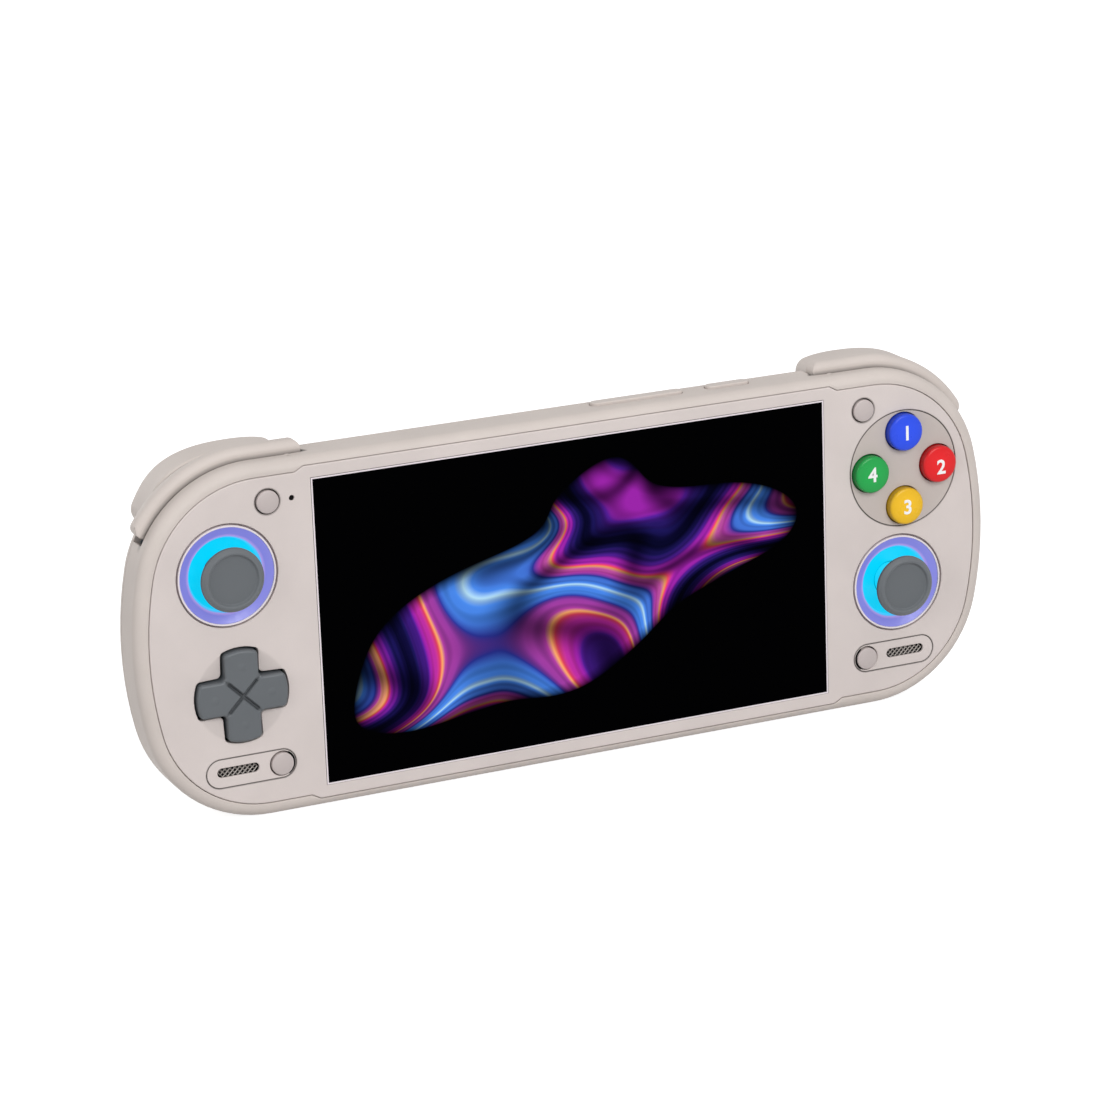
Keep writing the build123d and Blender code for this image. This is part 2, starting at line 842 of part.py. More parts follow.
# Stick modules
for side_name, place in stick_places.items():
    pivot = (place[0], face_y + pivot_depth, centre_height + place[1])

    with BuildPart() as stick_bezel:
        with BuildSketch(turning_plane(place)):
            with BuildLine():
                Polyline(
                    (bezel_radius - bezel_wall, 0),
                    (bezel_radius, 0),
                    (bezel_radius, plate_thickness),
                    (bezel_radius + bezel_flange, plate_thickness),
                    (bezel_radius + bezel_flange, plate_thickness + bezel_flange_thickness),
                    (bezel_radius - bezel_wall, plate_thickness + bezel_flange_thickness),
                    close=True,
                )
            make_face()
        revolve(axis=turning_axis(place))
    keep(stick_bezel, f"stick_bezel_{side_name}")

    with BuildPart() as light_ring:
        with BuildSketch(turning_plane(place)):
            with BuildLine():
                Polyline(
                    (light_outer_radius, light_outer_depth),
                    (light_inner_radius, light_inner_depth),
                    (light_inner_radius - light_outer_depth, light_inner_depth + light_step),
                    (light_bowl_radius, light_bowl_depth),
                    (light_floor_radius, light_floor_depth),
                    (light_outer_radius, light_floor_depth),
                    close=True,
                )
            make_face()
        revolve(axis=turning_axis(place))
    keep(light_ring, f"light_ring_{side_name}")

    with BuildPart() as stick_housing:
        housing_depth = pivot_depth + housing_below_pivot + housing_floor
        with BuildSketch(front_plane(light_floor_depth)):
            with Locations(place):
                RectangleRounded(housing_size, housing_size, housing_corner)
        extrude(amount=light_floor_depth - housing_depth)
        with BuildSketch(front_plane(light_floor_depth)):
            with Locations(place):
                inner_size = housing_size - 2 * housing_wall
                RectangleRounded(inner_size, inner_size, housing_corner)
        extrude(amount=light_floor_depth - pivot_depth - housing_below_pivot, mode=Mode.SUBTRACT)
        with BuildSketch(side_plane(place[0] - housing_size / 2)):
            with Locations((pivot_depth, place[1])):
                Circle(ring_pin_radius + fit_gap)
        extrude(amount=housing_size, mode=Mode.SUBTRACT)
        lip_size = housing_size + 2 * housing_lip
        with BuildSketch(front_plane(side_board_depth - housing_lip)):
            with Locations(place):
                RectangleRounded(lip_size, lip_size, housing_corner)
                RectangleRounded(inner_size, inner_size, housing_corner, mode=Mode.SUBTRACT)
        extrude(amount=-housing_lip)
        with BuildSketch(side_plane(place[0] - lip_size / 2)):
            with Locations((pivot_depth, place[1])):
                Circle(ring_pin_radius + fit_gap)
        extrude(amount=lip_size, mode=Mode.SUBTRACT)
    keep(stick_housing, f"stick_housing_{side_name}")

    with BuildPart() as stick_gimbal:
        with BuildSketch(front_plane(pivot_depth - ring_thickness / 2)):
            with Locations(place):
                Circle(ring_radius)
                Circle(ring_bore, mode=Mode.SUBTRACT)
        extrude(amount=-ring_thickness)
        for side in sides.values():
            with BuildSketch(side_plane(place[0] + side * (ring_radius + ring_bore) / 2)):
                with Locations((pivot_depth, place[1])):
                    Circle(ring_pin_radius)
            pin_reach = housing_size / 2 - (ring_radius + ring_bore) / 2
            extrude(amount=side * pin_reach)
        pin_bore = cradle_pin_radius + fit_gap
        with BuildSketch(Plane.XY.offset(pivot[2] - ring_radius)):
            with Locations((pivot[0], pivot[1])):
                Circle(pin_bore)
        extrude(amount=2 * ring_radius, mode=Mode.SUBTRACT)
    keep(stick_gimbal, f"stick_gimbal_{side_name}")

    with BuildPart() as stick_cradle:
        with BuildSketch(Plane.XY.offset(pivot[2] - cradle_length / 2)):
            with Locations((pivot[0], pivot[1])):
                Circle(cradle_radius)
        extrude(amount=cradle_length)
        with BuildSketch(Plane.XY.offset(pivot[2] - ring_radius)):
            with Locations((pivot[0], pivot[1])):
                Circle(cradle_pin_radius)
        extrude(amount=2 * ring_radius)
        with BuildSketch(front_plane(pivot_depth - ring_radius)):
            with Locations(place):
                Circle(shaft_radius + fit_gap)
        extrude(amount=-2 * ring_radius, mode=Mode.SUBTRACT)
    keep(stick_cradle, f"stick_cradle_{side_name}")

    with BuildPart() as stick_shaft:
        with BuildSketch(front_plane(-shaft_head_rise)):
            with Locations(place):
                Circle(shaft_radius)
        extrude(amount=-shaft_head_rise - pivot_depth - shaft_tail)
    keep(stick_shaft, f"stick_shaft_{side_name}")

    with BuildPart() as stick_cap:
        dome_inner = dome_radius - dome_wall
        edge_cos = cos(radians(dome_half_angle))
        edge_sin = sin(radians(dome_half_angle))
        middle_cos = cos(radians(dome_half_angle * dome_middle_share))
        middle_sin = sin(radians(dome_half_angle * dome_middle_share))
        neck_drop = sqrt(dome_radius ** 2 - cap_neck_radius ** 2)
        socket_drop = sqrt(dome_inner ** 2 - socket_radius ** 2)
        cap_middle = -cap_middle_rise + cap_edge_height / 2
        with BuildSketch(turning_plane(place)):
            with BuildLine():
                Polyline(
                    (0, -cap_dish_rise),
                    (cap_dish_radius, -cap_dish_rise),
                    (cap_dish_radius + cap_edge_height / 2, -cap_rim_rise),
                    (cap_dish_radius + cap_rim_width, -cap_rim_rise),
                    (cap_radius, -cap_middle_rise - cap_edge_height / 2),
                    (cap_radius, cap_middle),
                    (cap_under_radius, -cap_under_rise),
                    (cap_neck_radius + cap_neck_flare, -cap_under_rise + cap_neck_flare),
                    (cap_neck_radius, -cap_under_rise + 2 * cap_neck_flare),
                    (cap_neck_radius, pivot_depth - neck_drop),
                )
                ThreePointArc(
                    (cap_neck_radius, pivot_depth - neck_drop),
                    (dome_radius * middle_sin, pivot_depth - dome_radius * middle_cos),
                    (dome_radius * edge_sin, pivot_depth - dome_radius * edge_cos),
                )
                Line(
                    (dome_radius * edge_sin, pivot_depth - dome_radius * edge_cos),
                    (dome_inner * edge_sin, pivot_depth - dome_inner * edge_cos),
                )
                ThreePointArc(
                    (dome_inner * edge_sin, pivot_depth - dome_inner * edge_cos),
                    (dome_inner * middle_sin, pivot_depth - dome_inner * middle_cos),
                    (socket_radius, pivot_depth - socket_drop),
                )
                Polyline(
                    (socket_radius, pivot_depth - socket_drop),
                    (socket_radius, pivot_depth - cradle_radius - rest_gap - click_travel),
                    (shaft_radius, pivot_depth - cradle_radius - rest_gap - click_travel),
                    (shaft_radius, -shaft_head_rise),
                    (0, -shaft_head_rise),
                    (0, -cap_dish_rise),
                )
            make_face()
        revolve(axis=turning_axis(place))
    keep(stick_cap, f"stick_cap_{side_name}")

# Keys on the top edge: slot-shaped tops with a retaining flange inside the wall
keys = {
    "volume_rocker": (volume_middle, volume_length),
    "power_button": (power_middle, power_length),
}
for key_name, (middle, length) in keys.items():
    flange_gap = (length / 2 + key_flange) * tan(radians(key_tilt)) + seam_gap
    with BuildPart() as key:
        with BuildSketch(base_plane(2 * case_half_height + key_rise)):
            with Locations((middle, key_depth)):
                SlotOverall(length, key_width)
        extrude(amount=-key_rise - case_wall - flange_gap)
        fillet(key.edges().group_by(Axis.Z)[-1], key_round)
        with BuildSketch(base_plane(wall_inside - flange_gap)):
            with Locations((middle, key_depth)):
                flange_length = length + 2 * key_flange
                Rectangle(flange_length, key_width)
        extrude(amount=-key_flange_thickness)
    keep(key, key_name)

# Bumpers and triggers
for side_name, side in sides.items():
    with BuildPart() as bumper:
        with BuildSketch(front_plane(bumper_front)):
            add(case_outline(-bumper_proud))
        extrude(amount=bumper_front - bumper_rear)
        fillet(bumper.edges().group_by(Axis.Y)[0], bumper_front_round)
        fillet(bumper.edges().group_by(Axis.Y)[-1], bumper_rear_round)
        with BuildSketch(front_plane(bumper_front)):
            add(case_outline(bumper_inset))
        extrude(amount=bumper_front - bumper_rear, mode=Mode.SUBTRACT)
        with BuildSketch(front_plane(bumper_front)):
            add(bumper_outline(side))
        extrude(amount=bumper_front - bumper_rear, mode=Mode.INTERSECT)
        with BuildSketch(front_plane(bumper_front)):
            with Locations((side * bumper_pin_place[0], bumper_pin_place[1])):
                Circle(bumper_lug_radius)
        extrude(amount=bumper_front - bumper_rear)
        with BuildSketch(front_plane(bumper_front)):
            with Locations((side * bumper_pin_place[0], bumper_pin_place[1])):
                Circle(bumper_pin_radius + fit_gap)
        extrude(amount=bumper_front - bumper_rear, mode=Mode.SUBTRACT)
    keep(bumper, f"bumper_{side_name}")

    with BuildPart() as trigger:
        back_wall_depth = trigger_rear - trigger_back_wall
        with BuildSketch(front_plane(trigger_front)):
            add(trigger_outline(side))
        extrude(amount=trigger_front - trigger_rear)
        corners = trigger.edges().filter_by(Axis.Y).sort_by(Axis.Z)
        end_corner = corners.sort_by(Axis.X)[-1 if side > 0 else 0]
        fillet([corners[-1], end_corner], trigger_end_round)
        front_edges = trigger.edges().group_by(Axis.Y)[0]
        fillet(front_edges.sort_by(SortBy.LENGTH)[-1], trigger_front_round)
        rear_edges = trigger.edges().group_by(Axis.Y)[-1]
        fillet(rear_edges.sort_by(SortBy.LENGTH)[-1], trigger_rear_round)
        with BuildSketch(front_plane(trigger_front)):
            add(case_outline(trigger_skirt_inset))
        extrude(amount=trigger_front - trigger_rear, mode=Mode.SUBTRACT)
        with BuildSketch(front_plane(trigger_front)):
            add(case_outline(trigger_inset))
            pocket_start = trigger_start + trigger_end_wall
            pocket_end = trigger_end_angle + trigger_end_wall_angle
            add(shoulder_sector(side, pocket_start, pocket_end), mode=Mode.INTERSECT)
        extrude(amount=trigger_front - back_wall_depth, mode=Mode.SUBTRACT)
        hub_front = trigger_pivot_depth - trigger_hub_radius
        web_front = trigger_front + trigger_front_round
        web_top = case_half_height - trigger_inset / 2
        with BuildSketch(side_plane(side * trigger_hub_start)):
            with Locations((trigger_pivot_depth, trigger_pivot_height)):
                Circle(trigger_hub_radius)
            with BuildLine():
                Polyline(
                    (web_front, trigger_pivot_height),
                    (web_front, web_top),
                    (back_wall_depth, web_top),
                    (trigger_pivot_depth + trigger_hub_radius, trigger_pivot_height),
                    close=True,
                )
            make_face()
        extrude(amount=side * (trigger_hub_end - trigger_hub_start))
        with BuildSketch(side_plane(side * trigger_pin_start)):
            with Locations((trigger_pivot_depth, trigger_pivot_height)):
                Circle(trigger_pin_radius + fit_gap)
        extrude(amount=side * (trigger_hub_end - trigger_pin_start), mode=Mode.SUBTRACT)
        swing_origin = (0, face_y + trigger_pivot_depth, centre_height + trigger_pivot_height)
        swing_turn = radians(trigger_travel)
        swing_plane = Plane(
            origin=swing_origin,
            x_dir=(1, 0, 0),
            z_dir=(0, -cos(swing_turn), -sin(swing_turn)),
        )
        front_reach = trigger_pivot_depth - trigger_front
        with BuildSketch(swing_plane.offset(front_reach)):
            with Locations((side * case_half_length / 2, -corner_radius)):
                Rectangle(case_half_length * 2, corner_radius * 2)
        extrude(amount=corner_radius, mode=Mode.SUBTRACT)
    keep(trigger, f"trigger_{side_name}")

with BuildPart() as bumper_pins:
    for side in sides.values():
        with BuildSketch(front_plane(bay_front - bumper_pin_root)):
            with Locations((side * bumper_pin_place[0], bumper_pin_place[1])):
                Circle(bumper_pin_radius)
        extrude(amount=bay_front - bumper_pin_root - bumper_rear - fit_gap)
        with BuildSketch(front_plane(bumper_rear + fit_gap)):
            with Locations((side * bumper_pin_place[0], bumper_pin_place[1])):
                Circle(bumper_pin_head)
        extrude(amount=-bumper_pin_head_thickness)
keep(bumper_pins, "bumper_pins")

with BuildPart() as trigger_pins:
    for side in sides.values():
        with BuildSketch(side_plane(side * trigger_pin_start)):
            with Locations((trigger_pivot_depth, trigger_pivot_height)):
                Circle(trigger_pin_radius)
        extrude(amount=side * (ear_start + ear_thickness - trigger_pin_start))
keep(trigger_pins, "trigger_pins")

with BuildPart() as trigger_springs:
    for side in sides.values():
        spring_x = min(side * spring_start, side * (spring_start + spring_length))
        spring_centre = (
            spring_x,
            face_y + trigger_pivot_depth,
            centre_height + trigger_pivot_height,
        )
        with BuildLine():
            coil = Helix(
                spring_pitch,
                spring_length,
                spring_radius,
                center=spring_centre,
                direction=(1, 0, 0),
            )
        with BuildSketch(Plane(origin=coil @ 0, z_dir=coil % 0)):
            Circle(spring_wire_radius)
        sweep(path=coil, is_frenet=True)
keep(trigger_springs, "trigger_springs")

# Rear cover with its swells, shoulder bays, vents and screw towers
with BuildPart() as rear_cover:
    with BuildSketch(front_plane(parting_depth)):
        add(case_outline(0))
    extrude(amount=parting_depth - case_depth)
    fillet(rear_cover.edges().group_by(Axis.Y)[-1], rear_edge_radius)
    for side in sides.values():
        with BuildSketch(front_plane(case_depth - swell_root)):
            with Locations((side * swell_place[0], swell_place[1])):
                RectangleRounded(swell_width, swell_height, swell_corner)
        extrude(amount=case_depth - swell_root - swell_depth, taper=swell_taper)
    fillet(rear_cover.edges().group_by(Axis.Y)[-1], swell_round)
    with BuildSketch(front_plane(parting_depth)):
        add(case_outline(case_wall))
    extrude(amount=parting_depth - rear_inner_depth, mode=Mode.SUBTRACT)
    for side in sides.values():
        with BuildSketch(front_plane(parting_depth)):
            with Locations((side * swell_place[0], swell_place[1])):
                shrink = 2 * (case_wall + swell_root)
                RectangleRounded(swell_width - shrink, swell_height - shrink, swell_corner - case_wall)
        extrude(amount=parting_depth - rear_inner_depth, mode=Mode.SUBTRACT)
        with BuildSketch(front_plane(rear_inner_depth)):
            with Locations((side * swell_place[0], swell_place[1])):
                RectangleRounded(swell_width - shrink, swell_height - shrink, swell_corner - case_wall)
        swell_inner = swell_depth - case_wall
        extrude(amount=rear_inner_depth - swell_inner, taper=swell_taper, mode=Mode.SUBTRACT)
        with BuildSketch(front_plane(parting_depth)):
            add(case_outline(case_wall / 2))
            bay_wall_start = shoulder_start - rest_gap - bay_wall
            bay_wall_end = trigger_bay_end_angle - bay_wall_angle
            add(shoulder_sector(side, bay_wall_start, bay_wall_end), mode=Mode.INTERSECT)
            add(case_outline(bay_inset + bay_wall), mode=Mode.SUBTRACT)
        extrude(amount=parting_depth - rear_inner_depth)
        with BuildSketch(front_plane(parting_depth)):
            add(case_outline(-overrun))
            bay_start = shoulder_start - rest_gap
            add(shoulder_sector(side, bay_start, trigger_bay_end_angle), mode=Mode.INTERSECT)
            add(case_outline(bay_inset), mode=Mode.SUBTRACT)
        extrude(amount=parting_depth - case_depth, mode=Mode.SUBTRACT)
        for place in screw_places:
            with BuildSketch(front_plane(parting_depth)):
                with Locations((side * place[0], place[1])):
                    Circle(boss_radius)
            extrude(amount=parting_depth - rear_inner_depth)
            with BuildSketch(front_plane(parting_depth)):
                with Locations((side * place[0], place[1])):
                    Circle(screw_clearance_radius)
            extrude(amount=parting_depth - case_depth, mode=Mode.SUBTRACT)
            with BuildSketch(front_plane(case_depth - screw_well_depth)):
                with Locations((side * place[0], place[1])):
                    Circle(screw_well_radius)
            extrude(amount=-screw_well_depth, mode=Mode.SUBTRACT)
        ear_foot = case_half_height - bay_inset - bay_wall / 2
        with BuildSketch(side_plane(side * ear_start)):
            with Locations((trigger_pivot_depth, trigger_pivot_height)):
                Circle(ear_radius)
            with BuildLine():
                Polyline(
                    (trigger_pivot_depth - ear_radius, trigger_pivot_height),
                    (trigger_pivot_depth + ear_radius, trigger_pivot_height),
                    (trigger_pivot_depth + ear_radius, ear_foot - case_wall),
                    (trigger_pivot_depth - ear_radius, ear_foot - case_wall),
                    close=True,
                )
            make_face()
        extrude(amount=side * ear_thickness)
        with BuildSketch(side_plane(side * trigger_pin_start)):
            with Locations((trigger_pivot_depth, trigger_pivot_height)):
                Circle(trigger_pin_radius)
        extrude(amount=side * (ear_start + ear_thickness - trigger_pin_start), mode=Mode.SUBTRACT)
    with BuildSketch(front_plane(parting_depth)):
        with Locations(vent_place):
            with GridLocations(vent_pitch, 0, vent_count, 1):
                SlotOverall(vent_length, vent_width, rotation=90)
    extrude(amount=parting_depth - case_depth, mode=Mode.SUBTRACT)
keep(rear_cover, "rear_cover")

with BuildPart() as case_screws:
    for side in sides.values():
        for place in screw_places:
            head_depth = case_depth - screw_well_depth
            with BuildSketch(front_plane(head_depth)):
                with Locations((side * place[0], place[1])):
                    Circle(screw_head_radius)
            extrude(amount=-screw_head_height)
            with BuildSketch(front_plane(head_depth)):
                with Locations((side * place[0], place[1])):
                    Circle(screw_radius)
            extrude(amount=head_depth - parting_depth + screw_bite - rest_gap)
keep(case_screws, "case_screws")

# Battery, main board and heat spreader
with BuildPart() as battery:
    with BuildSketch(front_plane(battery_depth)):
        with Locations(battery_place):
            RectangleRounded(battery_length, battery_height, battery_corner)
    extrude(amount=-battery_thickness)
keep(battery, "battery")

board_middle = (main_board_start + main_board_end) / 2
board_length = main_board_end - main_board_start
key_bottom = case_half_height - case_wall - key_flange_thickness
volume_drop = (volume_length / 2 + key_flange) * tan(radians(key_tilt))
power_drop = (power_length / 2 + key_flange) * tan(radians(key_tilt))
with BuildPart() as main_board:
    with BuildSketch(front_plane(main_board_depth)):
        with Locations((board_middle, 0)):
            Rectangle(board_length, 2 * main_board_half_height)
    extrude(amount=-board_thickness)
    switch_foot = main_board_half_height - key_switch_height
    volume_switch_top = key_bottom - 2 * volume_drop - 2 * seam_gap
    power_switch_top = key_bottom - power_drop - key_travel - 2 * seam_gap
    switches = (
        (volume_middle - volume_length / 3, volume_switch_top),
        (volume_middle + volume_length / 3, volume_switch_top),
        (power_middle, power_switch_top),
    )
    for switch_x, switch_top in switches:
        with BuildSketch(front_plane(key_depth - key_width / 2)):
            with Locations((switch_x, (switch_foot + switch_top) / 2)):
                Rectangle(switch_size, switch_top - switch_foot)
        extrude(amount=key_depth - key_width / 2 - main_board_depth - board_thickness)
keep(main_board, "main_board")

with BuildPart() as heat_spreader:
    with BuildSketch(front_plane(main_board_depth + board_thickness)):
        with Locations(vent_place):
            RectangleRounded(heat_spreader_length, heat_spreader_height, battery_corner)
    extrude(amount=-heat_spreader_thickness)
keep(heat_spreader, "heat_spreader")

# Ports on the bottom edge, on the front side of the main board
with BuildPart() as usb_port:
    with BuildSketch(base_plane(port_recess)):
        with Locations((usb_place, usb_depth)):
            SlotOverall(usb_width, usb_height)
    extrude(amount=usb_length)
    with BuildSketch(base_plane(port_recess)):
        with Locations((usb_place, usb_depth)):
            SlotOverall(usb_width - 2 * usb_wall, usb_height - 2 * usb_wall)
            Rectangle(usb_tongue_width, usb_tongue_thickness, mode=Mode.SUBTRACT)
    extrude(amount=usb_length - usb_tongue_recess, mode=Mode.SUBTRACT)
    with BuildSketch(base_plane(port_recess)):
        with Locations((usb_place, usb_depth)):
            Rectangle(usb_tongue_width, usb_tongue_thickness)
    extrude(amount=usb_tongue_recess, mode=Mode.SUBTRACT)
keep(usb_port, "usb_port")

with BuildPart() as audio_jack:
    with BuildSketch(base_plane(port_recess)):
        with Locations((jack_place, jack_depth)):
            Circle(jack_barrel_radius)
    extrude(amount=case_wall + rest_gap)
    with BuildSketch(base_plane(port_recess + case_wall + rest_gap)):
        with Locations((jack_place, jack_depth)):
            Rectangle(jack_body_width, 2 * jack_barrel_radius)
    extrude(amount=jack_length + jack_back - case_wall - rest_gap)
    with BuildSketch(base_plane(port_recess)):
        with Locations((jack_place, jack_depth)):
            Circle(jack_bore_radius)
    extrude(amount=jack_length, mode=Mode.SUBTRACT)
keep(audio_jack, "audio_jack")

with BuildPart() as card_slot:
    card_outer = card_width + 2 * card_slot_gap
    with BuildSketch(base_plane(case_wall + rest_gap)):
        with Locations((card_place, card_depth)):
            Rectangle(card_outer, card_thickness)
    extrude(amount=card_length)
    with BuildSketch(base_plane(case_wall + rest_gap)):
        with Locations((card_place, card_depth)):
            Rectangle(card_width - card_slot_gap, card_thickness - 2 * card_slot_gap)
    extrude(amount=card_length - card_slot_gap, mode=Mode.SUBTRACT)
keep(card_slot, "card_slot")

# Side boards under the controls, with small switches and the D-pad's post
board_centre = (side_board_start + side_board_end) / 2
for side_name, side in sides.items():
    place = stick_places[side_name]
    with BuildPart() as side_board:
        with BuildSketch(front_plane(side_board_depth)):
            with Locations((side * board_centre, 0)):
                width = side_board_end - side_board_start
                RectangleRounded(width, 2 * side_board_half_height, side_board_corner)
            with Locations(place):
                cutout = housing_size + 2 * fit_gap
                Rectangle(cutout, cutout, mode=Mode.SUBTRACT)
        extrude(amount=-board_thickness)
        for button_place in small_buttons.values():
            switch_top = small_stem_depth + small_button_travel + fit_gap
            with BuildSketch(front_plane(switch_top)):
                with Locations((side * button_place[0], button_place[1])):
                    Rectangle(switch_size, switch_size)
            extrude(amount=switch_top - side_board_depth - board_thickness)
        if side_name == "left":
            post_top = dpad_pivot_depth + dpad_belt
            with BuildSketch(front_plane(post_top)):
                with Locations(dpad_place):
                    Circle(dpad_post_radius)
            extrude(amount=post_top - side_board_depth)
            ball_centre = (
                dpad_place[0],
                face_y + dpad_pivot_depth,
                centre_height + dpad_place[1],
            )
            with Locations(ball_centre):
                Sphere(dpad_ball_radius + fit_gap, mode=Mode.SUBTRACT)
    keep(side_board, f"side_board_{side_name}")
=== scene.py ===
import json
import math

import bmesh
import bpy
from mathutils import Matrix, Vector


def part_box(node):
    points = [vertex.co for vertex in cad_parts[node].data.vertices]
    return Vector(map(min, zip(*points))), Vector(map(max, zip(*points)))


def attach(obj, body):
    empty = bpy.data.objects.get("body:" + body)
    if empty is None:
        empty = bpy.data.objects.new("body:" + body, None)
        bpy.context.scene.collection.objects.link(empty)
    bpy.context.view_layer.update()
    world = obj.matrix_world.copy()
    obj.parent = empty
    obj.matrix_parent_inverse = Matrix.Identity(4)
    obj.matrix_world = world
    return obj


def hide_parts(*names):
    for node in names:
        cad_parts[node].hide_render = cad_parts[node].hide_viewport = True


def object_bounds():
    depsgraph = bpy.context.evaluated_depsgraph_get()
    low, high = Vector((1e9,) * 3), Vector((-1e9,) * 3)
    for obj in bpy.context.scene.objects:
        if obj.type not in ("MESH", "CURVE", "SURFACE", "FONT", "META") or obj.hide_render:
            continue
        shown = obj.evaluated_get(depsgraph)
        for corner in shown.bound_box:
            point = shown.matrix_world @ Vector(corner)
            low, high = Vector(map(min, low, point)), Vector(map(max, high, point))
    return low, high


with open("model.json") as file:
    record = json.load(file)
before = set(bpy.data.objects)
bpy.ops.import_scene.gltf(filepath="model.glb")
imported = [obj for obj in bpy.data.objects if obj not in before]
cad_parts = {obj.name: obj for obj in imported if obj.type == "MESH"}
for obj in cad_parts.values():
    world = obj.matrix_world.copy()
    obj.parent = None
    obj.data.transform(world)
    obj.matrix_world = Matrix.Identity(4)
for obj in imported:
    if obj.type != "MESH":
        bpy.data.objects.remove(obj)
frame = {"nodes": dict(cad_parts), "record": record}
cad_low, cad_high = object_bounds()

# The console stands on its bottom edge with its face towards -Y.
# Depths run from the face backwards. Sizes here are in millimetres and become metres when placed.
MM = 0.001
SIDES = ("left", "right")
body_of = {node: body for body, nodes in frame["record"]["behaviour"]["bodies"].items() for node in nodes}
slot_of = {part["node"]: part["material_slot"] for part in frame["record"]["subparts"]}
face_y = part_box("front_frame")[0].y

# Photograph's camera, in the console's own frame
IMAGE_PIXELS = 1100
FOCAL_PIXELS = 3990
SENSOR_WIDTH = 36.0
CAMERA_PLACE = Vector((-0.33927, -0.76897, 0.29612))
CAMERA_RIGHT = Vector((0.91154, -0.40962, -0.03611))
CAMERA_UP = Vector((0.14836, 0.24569, 0.95793))

# Light: the world's level, and each lamp's place, size in metres and power in watts
WORLD_LEVEL = 0.44
LAMPS = {
    "left lamp": ((-1.3, -0.45, 0.55), 0.7, 4.0),
    "top lamp": ((0.1, -0.2, 1.5), 0.9, 1.6),
    "front lamp": ((0.2, -1.5, 1.0), 0.9, 19.0),
    "back lamp": ((-0.5, 1.6, 0.3), 0.9, 6.0),
}

# Floor: its reach in metres, its drop under the console, its tone and glow as seen by the camera,
# and its tone as seen by the console
FLOOR_REACH = 6.0
FLOOR_DROP = 0.02
FLOOR_SEEN = 0.50
FLOOR_GLOW = 0.82
FLOOR_UNSEEN = 0.60

# Colours, as linear light
BLACK = (0.0, 0.0, 0.0)
CASE = (0.576, 0.514, 0.478)
PLATE = (0.622, 0.555, 0.532)
DISC = (0.500, 0.441, 0.412)
CREAM = (0.76, 0.69, 0.72)
SLATE = (0.118, 0.130, 0.142)
CYAN = (0.0, 0.68, 1.0)
VIOLET = (0.205, 0.210, 0.66)
# The small buttons' tone: the plate's tone darkened as painted shade of their domes
SHADED_KEYS = (0.485, 0.425, 0.412)
# Colour of the painted shade in seams between parts
SEAM = (0.05, 0.042, 0.036)
BUTTON_COLORS = {
    "top": (0.018, 0.075, 0.82),
    "right": (0.76, 0.008, 0.012),
    "bottom": (0.86, 0.50, 0.012),
    "left": (0.008, 0.36, 0.065),
}
BUTTON_MARKS = {"top": "1", "right": "2", "bottom": "3", "left": "4"}

# Meshes: angles in degrees over which edges are rounded and shaded sharp, and tolerances for merging
ROUNDED_ANGLE = 30
SHARP_ANGLE = 40
FLAT_ANGLE = 0.4
MERGE_REACH = 0.0015
CUT_REACH = 0.0005

# How far each piece's edges are rounded
ROUNDING = {
    "front_frame": 0.16,
    "rear_cover": 0.15,
    "front_plate": 0.12,
    "button_disc": 0.14,
    "display_glass": 0.05,
    "screen_rim": 0.02,
    "shoulder": 0.30,
    "top_key": 0.10,
    "stick_cap": 0.18,
    "stick_bezel": 0.06,
    "light_ring": 0.05,
    "face_button": 0.06,
    "small_button": 0.30,
    "speaker_plate": 0.06,
    "dpad": 0.25,
    "case_screws": 0.08,
}

# Case: places along it where its flats are split, and the rounding of its rim beside the bumpers
SCREW_PLACES = (-96.0, -64.5, -58.5, 58.5, 64.5, 96.0)
SCREW_WELL_REACH = 2.4
VENT_COUNT = 9
VENT_PITCH = 4.4
RIM_ROUNDING = 0.8
RIM_REACH = 0.03
PIN_BORE_STEP = 1.3
PIN_BORE_CLEAR = 1.0

# Painted shade in the bumper seam: the case's rounded corner that it follows, and the ranges over which it
# fades
SHOULDER_CENTRE = (73.55, 51.1)
SHOULDER_RADIUS = 27.1
SEAM_RISE = (-0.35, 0.75)
SEAM_WIDTH = (0.25, 1.0)
SEAM_START = (60.2, 60.9)
SEAM_FOOT = (61.5, 63.0)
SEAM_SHADE_STRENGTH = 0.68
bumper_end = -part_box("bumper_left")[1].x / MM
bumper_seam_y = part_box("bumper_left")[0].y - 0.2 * MM

# Painted shade in the shape of a dark notch at a bumper's inner end: its length along the case, its width
# from front to back, and the ranges over which its front, its end, its foot and its slanted side fade
NOTCH_LENGTH = 1.5
NOTCH_WIDTH = 3.0
NOTCH_FRONT = (-0.25, 0.0)
NOTCH_END = (0.02, 0.10)
NOTCH_FOOT = (75, 76)
NOTCH_SIDE = (0.70, 1.05)
NOTCH_SHADE_STRENGTH = 0.90

# Painted shade in other seams: what a piece hides behind the plate beyond its seam, and a seam's offset from
# the rim
DISC_FLANGE = 0.6
BUTTON_FLANGE = 0.3
RIM_OFFSET = 0.05

# Light rings: depths over which their light ends, on the ring and on the module behind its opening,
# radii over which their tones run and their inner wall ends, and the tones from the middle outwards
RING_DEPTHS = (1.0, 1.6)
MODULE_DEPTHS = (6.0, 9.0)
RING_RADII = (5.0, 11.0)
RING_WALL = (9.6, 10.2)
RING_GLOW = 0.80
MODULE_GLOW = 0.50
RING_TONES = (
    (0.0, CYAN),
    (0.46, CYAN),
    (0.535, (0.10, 0.52, 0.98)),
    (0.575, (0.42, 0.33, 0.80)),
    (0.66, tuple(1.06 * channel for channel in VIOLET)),
    (1.0, VIOLET),
)
